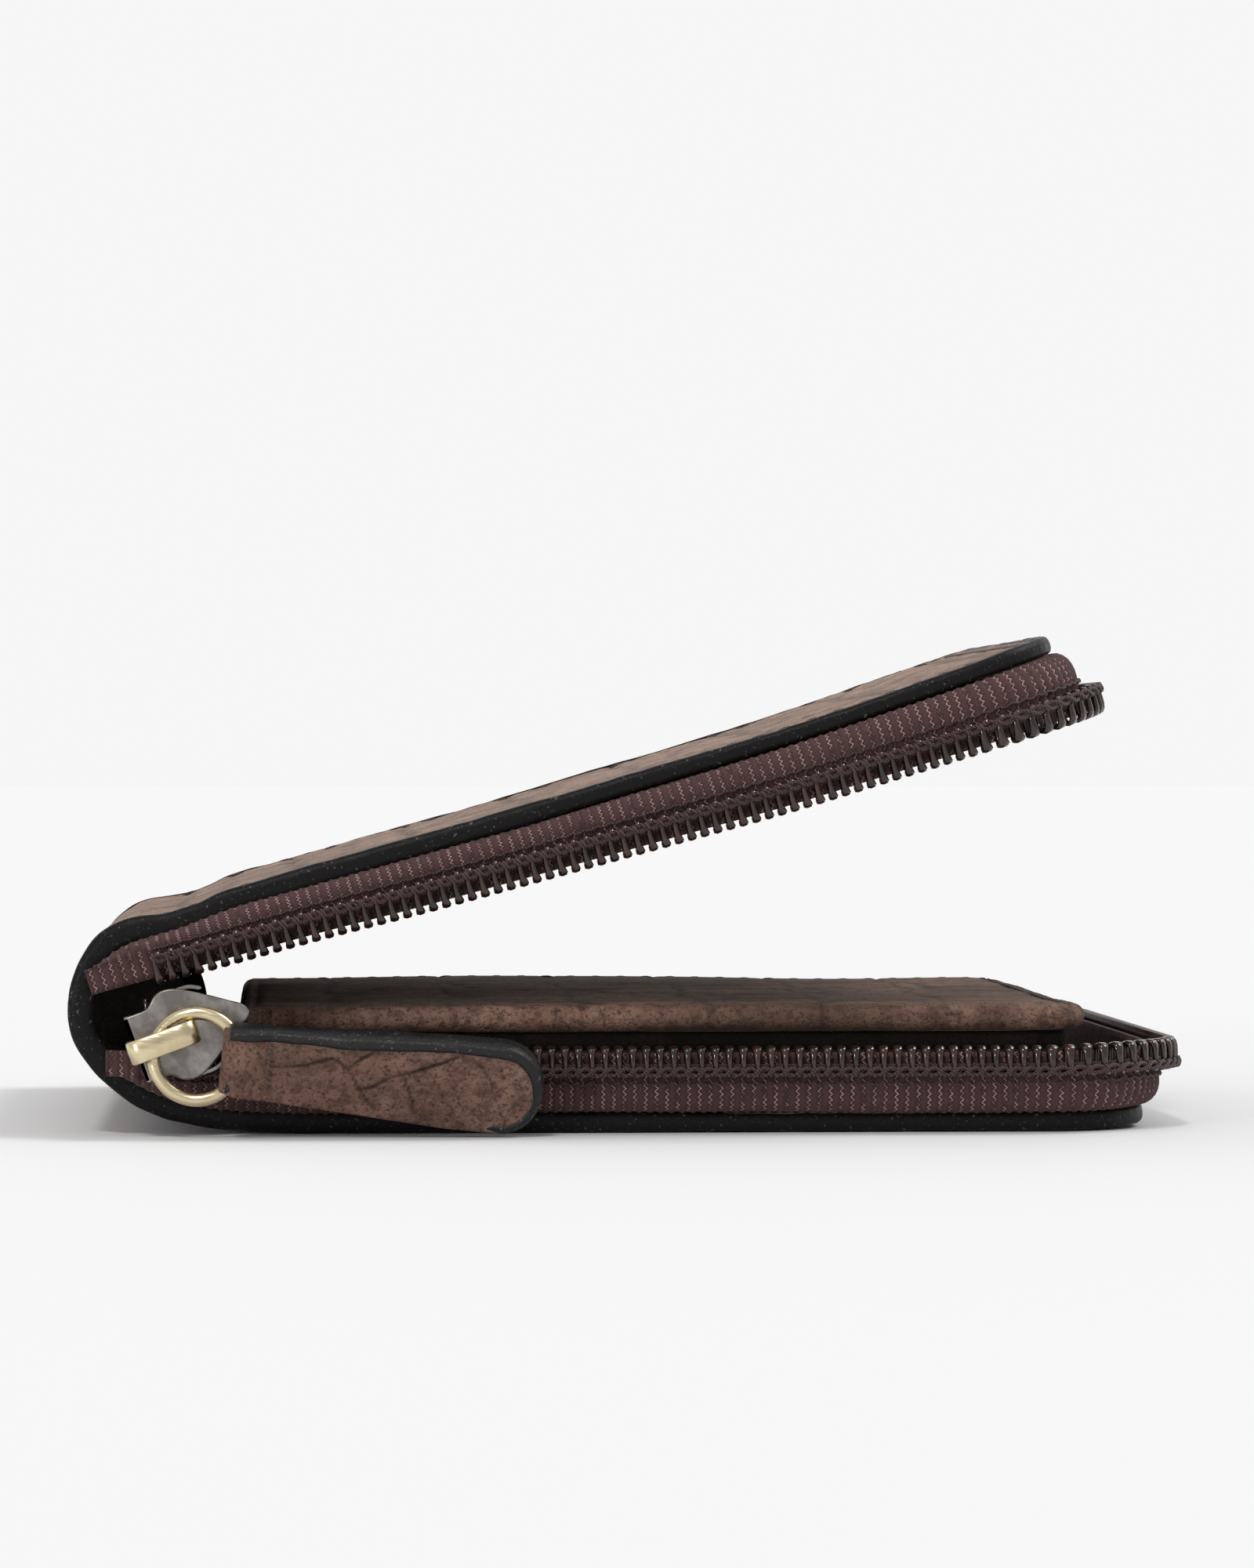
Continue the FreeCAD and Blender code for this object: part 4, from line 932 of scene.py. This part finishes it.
def strap(path, width, thick, bevel=0.12):
    """Flat strip in the slider's own X and Y, swept along path with rounded edges."""
    line = smooth_line(path, 0.25)
    ahead = unit(np.gradient(line, axis=0))
    out = np.stack([-ahead[:, 1], ahead[:, 0]], 1)
    half, side = thick / 2, width / 2
    shape = [(-half, -side + bevel), (-half + bevel, -side), (half - bevel, -side),
             (half, -side + bevel), (half + 0.06, 0), (half, side - bevel), (half - bevel, side),
             (-half + bevel, side), (-half, side - bevel)]
    sections = [slider_point(line[:, 0] + out[:, 0] * a, np.full(len(line), b),
                             line[:, 1] + out[:, 1] * a) for a, b in shape]
    return np.stack(sections, 1)


def make_slider():
    # Half of the outline. A point given twice keeps its corner sharp.
    front = [(-6.1, 1.5), (-6.1, 3.6), (-6.1, 3.6), (-4.2, 3.6), (-3.5, 3.8), (-2.7, 4.55), (-1.7, 4.9),
             (-0.5, 4.7), (0.9, 4.0), (2.8, 2.75), (4.6, 1.5), (5.6, 0.8), (5.95, 0)]
    full = front + [(x, -z * 0.95) for x, z in reversed(front[:-1])]
    back = [(x * 0.96, z * 0.96) for x, z in full]
    parts = [plate(full, FRONT_Y, FACE_Y, 0.22), plate(back, BACK_Y, BACK_Y + BACK_THICK, 0.2)]
    post = [(2.4, 0.8), (4.2, 0.5), (4.6, 0), (4.2, -0.5), (2.4, -0.8), (2.0, 0)]
    parts.append(plate(post, BACK_Y + 0.7, FRONT_Y + 0.05, 0.08))
    for side in (-1, 1):
        lip = [(-1.9, 4.3 * side), (-0.6, 4.6 * side), (1.0, 4.55 * side), (2.2, 3.95 * side),
               (2.0, 3.65 * side), (0.9, 4.15 * side), (-0.6, 4.2 * side), (-1.8, 3.95 * side)]
        parts.append(plate(lip, FRONT_Y - 1.05, FRONT_Y + 0.75, 0.06))
    piece = swept_piece("slider_casting", parts, LOOK["gunmetal"])
    fix_to("slider", piece, "slider_metal", "slider_body")


def make_bridge():
    """Brass bridge over the slider, which the ring hangs from."""
    top = FACE_Y + 3.4
    path = [(-6.45, FACE_Y - 0.9), (-6.5, FACE_Y + 0.6), (-6.5, top - 1.0), (-6.2, top - 0.25),
            (-5.5, top), (-3.0, top), (-1.2, top), (-0.4, top - 0.25), (0.0, top - 0.9),
            (0.1, FACE_Y + 0.6), (0.1, FACE_Y - 0.1)]
    piece = swept_piece("slider_bail", [strap(path, 2.4, 0.8)], LOOK["brass"])
    fix_to("slider", piece, "brass", "slider_bridge")


RING_RADIUS, RING_WIRE, RING_FLAT, RING_SLOPE, RING_LEAN = 4.4, 0.68, 0.62, 22.0, 4.0


def ring_point(along, across, out):
    """Row-frame point given from the ring's crossing under the bridge, along its own axes."""
    lean = math.radians(RING_LEAN)
    flat = along * math.cos(lean) + out * math.sin(lean)
    y = along * math.sin(lean) - out * math.cos(lean)
    start = slider_point(-3.8, 0.4, FACE_Y + 1.65)
    x, z = turned(start[0] + flat, start[2] + across, (start[0], start[2]), -RING_SLOPE)
    return np.stack([x, start[1] - y, z], -1)


def make_ring():
    angle = np.arange(72) * 2 * math.pi / 72
    sections = []
    for side in np.arange(12) * 2 * math.pi / 12:
        r = RING_RADIUS + RING_WIRE * math.cos(side)
        sections.append(ring_point(RING_RADIUS - r * np.cos(angle), r * np.sin(angle),
                                   np.full(len(angle), RING_FLAT * math.sin(side))))
    piece = swept_piece("ring_wire", [np.stack(sections, 1)], LOOK["brass"], closed=True)
    fix_to("pull_ring", piece, "brass", "pull_ring")


PULL_SLOPE, PULL_YAW, PULL_LENGTH, PULL_TIP, PULL_PROUD = 5.8, 1.0, 30.5, 4.6, 0.8


def pull_point(x, z, out):
    """Row-frame point given along the pull from the ring's wire, across it, and towards the near
    side. The strap rolls along its length, with its upper edge nearer."""
    x, z, out = np.broadcast_arrays(np.asarray(x, float), z, out)
    roll = np.radians(8 + 16 * np.clip((x + 2) / 12, 0, 1))
    z, out = z * np.cos(roll) - out * np.sin(roll), z * np.sin(roll) + out * np.cos(roll)
    yaw = math.radians(PULL_YAW)
    flat, y = x * math.cos(yaw) + out * math.sin(yaw), x * math.sin(yaw) - out * math.cos(yaw)
    middle = ring_point(RING_RADIUS, 0.0, 0.0)
    x2, z2 = turned(middle[0] + RING_RADIUS + flat, middle[2] + z, (middle[0], middle[2]),
                    -PULL_SLOPE)
    return np.stack([x2, middle[1] - PULL_PROUD + y, z2], -1)


def pull_width(x):
    """Half width of the strap, rounded at the tip."""
    wide = 3.15 + 1.5 * np.clip((x + 3) / 24, 0, 1)
    tip = np.clip((x - (PULL_LENGTH - PULL_TIP)) / PULL_TIP, 0, 1)
    return wide * np.sqrt(np.maximum(1 - tip ** 2.3, 0))


def pull_run(start, straight, curved):
    """Distances along the strap, closer together round its tip."""
    tip = PULL_TIP * np.sin(np.linspace(0, math.pi / 2, curved))[1:]
    return np.concatenate([np.linspace(start, PULL_LENGTH - PULL_TIP, straight),
                           PULL_LENGTH - PULL_TIP + tip])


def pull_swell(x):
    """Extra half thickness where the strap wraps the ring."""
    return 0.85 * np.exp(-((x + 0.4) / 2.4) ** 2)


def pull_creases(x, z):
    """Long crossing creases pressed into the strap."""
    groove = 0.45 * embossing(x, z, 57, (7.0, 5.0), 0.22, 0.9) * np.clip(waves(x, z, 59, 4) + 0.3, 0, 1)
    creases = [[(4.4, 0.2), (9.3, 1.7), (10.7, 0.8), (12.2, -1.0), (13.8, -3.2)],
               [(12.0, -1.2), (15.2, 0.2), (19.2, 2.3), (21.8, 3.3)],
               [(23.8, 3.0), (25.6, 1.2), (26.8, -0.5)], [(3.0, 0.1), (4.8, 0.3)],
               [(10.7, 0.8), (12.6, 2.6), (14.0, 3.6)], [(16.5, 0.8), (17.8, -1.6), (18.1, -3.4)]]
    strength = 0.74 + 0.16 * waves(x, z, 64, 1.7)
    wx, wz = x + 0.22 * waves(x, z, 62, 1.3), z + 0.22 * waves(x, z, 63, 1.1)
    for line in creases:
        for (ax, az), (bx, bz) in zip(line, line[1:]):
            dx, dz = bx - ax, bz - az
            t = np.clip(((wx - ax) * dx + (wz - az) * dz) / (dx * dx + dz * dz), 0, 1)
            away = np.hypot(wx - ax - t * dx, wz - az - t * dz)
            groove = np.maximum(groove, strength * np.exp(-(away / 0.24) ** 2))
    return groove


def make_pull():
    """Folded strap: x from the eye to the tip, z across."""
    x, share = pull_run(-1.9, 90, 14), np.linspace(-1, 1, 45)
    wide = np.maximum(pull_width(x), 0.02)
    z = wide[:, None] * share[None, :]
    grid_x = np.repeat(x[:, None], len(share), 1)
    nose = np.sqrt(np.clip((grid_x + 1.95) / 1.6, 0, 1))
    groove = pull_creases(grid_x, z)
    puff = 0.10 * waves(grid_x, z, 58, 2.4)
    edge = np.clip((1 - np.abs(share[None, :])) * wide[:, None] / 0.7, 0, 1)
    thick = (1.35 + pull_swell(grid_x)) * nose
    front = pull_point(grid_x, z, thick - 0.22 * groove * edge + puff * edge)
    back = pull_point(grid_x, z, -thick + 0.16 * groove * edge)
    piece = sheet_piece("pull_strap", front, back, grid_x, z, groove, LOOK["pull"])
    fix_to("pull", piece, "pull_leather", "pull_leather")


def make_pull_rim():
    """Painted rim along the top, round the tip and back along the bottom."""
    xs = pull_run(-1.3, 60, 22)
    path_x = np.concatenate([xs, xs[-2::-1]])
    path_z = np.concatenate([pull_width(xs), -pull_width(xs)[-2::-1]])
    ahead = unit(np.stack([np.gradient(path_x), np.gradient(path_z)], 1))
    nx, nz = -ahead[:, 1], ahead[:, 0]
    lumps = 1 + 0.06 * waves(path_x, path_z, 61, 1.8)
    tall = (1.42 + pull_swell(path_x)) * lumps
    under = np.clip(-path_z / 2.0, 0, 1) * np.clip((PULL_LENGTH - 3 - path_x) / 4, 0, 1)
    sections = []
    for out, level in ((-0.75, -1), (-0.3, -1.06), (0.1, -0.95), (0.33, -0.65), (0.42, -0.2),
                       (0.42, 0.25), (0.33, 0.68), (0.1, 0.97), (-0.3, 1.07), (-0.75, 1.0)):
        out = out * lumps - 0.3 * under
        level = level - 0.22 * under * (level > 0)
        sections.append(pull_point(path_x + nx * out, path_z + nz * out, tall * level))
    piece = swept_piece("pull_rim", [np.stack(sections, 1)], LOOK["pull_edge"])
    fix_to("pull", piece, "edge_paint", "pull_edge_paint")


def make_pull_seam():
    """Cross stitches on both faces of the strap, near the ring."""
    parts, t = [], np.linspace(0, 1, 6)
    for side in (-1, 1):
        for i in range(4):
            level = side * (1.36 + 0.12 * np.sin(math.pi * t))
            centres = pull_point(2.9 + 0 * t, -2.5 + 1.35 * i + 0.95 * t, level + side * 0.4)
            parts.append(round_tube(centres, 0.15, 6, up=(0, 1, 0)))
    piece = swept_piece("pull_seam", parts, LOOK["thread"])
    fix_to("pull", piece, "thread", "pull_stitching")


# --- build ---------------------------------------------------------------------------------

for half in ("lower", "upper"):
    make_hide(half)
    make_tape(half)
    make_coil(half)
    make_filler_cord(half)
    make_chain_stitch(half)
make_gusset()
make_chain_tail()
make_panel()
make_pocket_leaves()
make_card_leaves()
make_slider()
make_bridge()
make_ring()
make_pull()
make_pull_rim()
make_pull_seam()

# CAD nodes that stay in view keep their shape and only take a material.
CARRIED = {"board": "board", "lining": "lining", "top_stop": "gunmetal"}
for name, node in frame["nodes"].items():
    if not node.hide_render:
        look = next(v for k, v in CARRIED.items() if k in name)
        node.data.materials.clear()
        node.data.materials.append(LOOK[look])


# --- studio --------------------------------------------------------------------------------


def make_studio():
    """Wide pale floor under an even white surround."""
    half_side, level = 9000, -0.12
    x = np.linspace(-half_side, half_side, 31)
    points = [(a, b, level) for b in x for a in x]
    floor = mesh_piece("studio_floor", points, grid_faces(len(x), len(x)), LOOK["floor"])

    world = bpy.data.worlds.new("studio")
    bpy.context.scene.world = world
    world.use_nodes = True
    tree = world.node_tree
    back = tree.nodes["Background"]
    coords = tree.nodes.new("ShaderNodeTexCoord")
    split = tree.nodes.new("ShaderNodeSeparateXYZ")
    ramp = tree.nodes.new("ShaderNodeValToRGB")
    tree.links.new(coords.outputs["Generated"], split.inputs[0])
    tree.links.new(split.outputs[1], ramp.inputs[0])
    tree.links.new(ramp.outputs[0], back.inputs[0])
    for stop, (at, grey) in zip(ramp.color_ramp.elements, ((0.0, 0.55), (0.7, 0.925))):
        stop.position, stop.color = at, (grey, grey, grey * 1.005, 1)
    back.inputs[1].default_value = 1.0

    def sun(name, direction, strength, spread):
        light = bpy.data.lights.new(name, "SUN")
        light.energy, light.angle = strength, math.radians(spread)
        holder = bpy.data.objects.new(name, light)
        bpy.context.scene.collection.objects.link(holder)
        holder.rotation_euler = Vector(direction).to_track_quat("Z", "Y").to_euler()
    sun("key", (0.62, 0.12, 0.78), 1.25, 24)
    sun("fill", (-0.18, -0.62, 0.76), 0.85, 8)
    sun("side", (-0.62, -0.77, 0.12), 0.55, 7)


def make_camera():
    """Long lens, almost level, turned a little to the right."""
    eye, lens, sensor = Vector((-39.0, -690.0, 38.0)), 144.0, (28.8, 36.0)
    yaw, pitch = math.atan(0.055), math.atan(0.0035)
    data = bpy.data.cameras.new("camera")
    data.sensor_fit, data.lens = "VERTICAL", lens
    data.sensor_width, data.sensor_height = sensor
    data.clip_start, data.clip_end = 0.01, 20
    camera = bpy.data.objects.new("camera", data)
    bpy.context.scene.collection.objects.link(camera)
    camera.location = eye * MM
    camera.rotation_euler = (math.pi / 2 - pitch, 0, -yaw)
    bpy.context.scene.camera = camera


make_studio()
make_camera()
bpy.context.scene.view_settings.view_transform = "Standard"

bpy.context.view_layer.update()
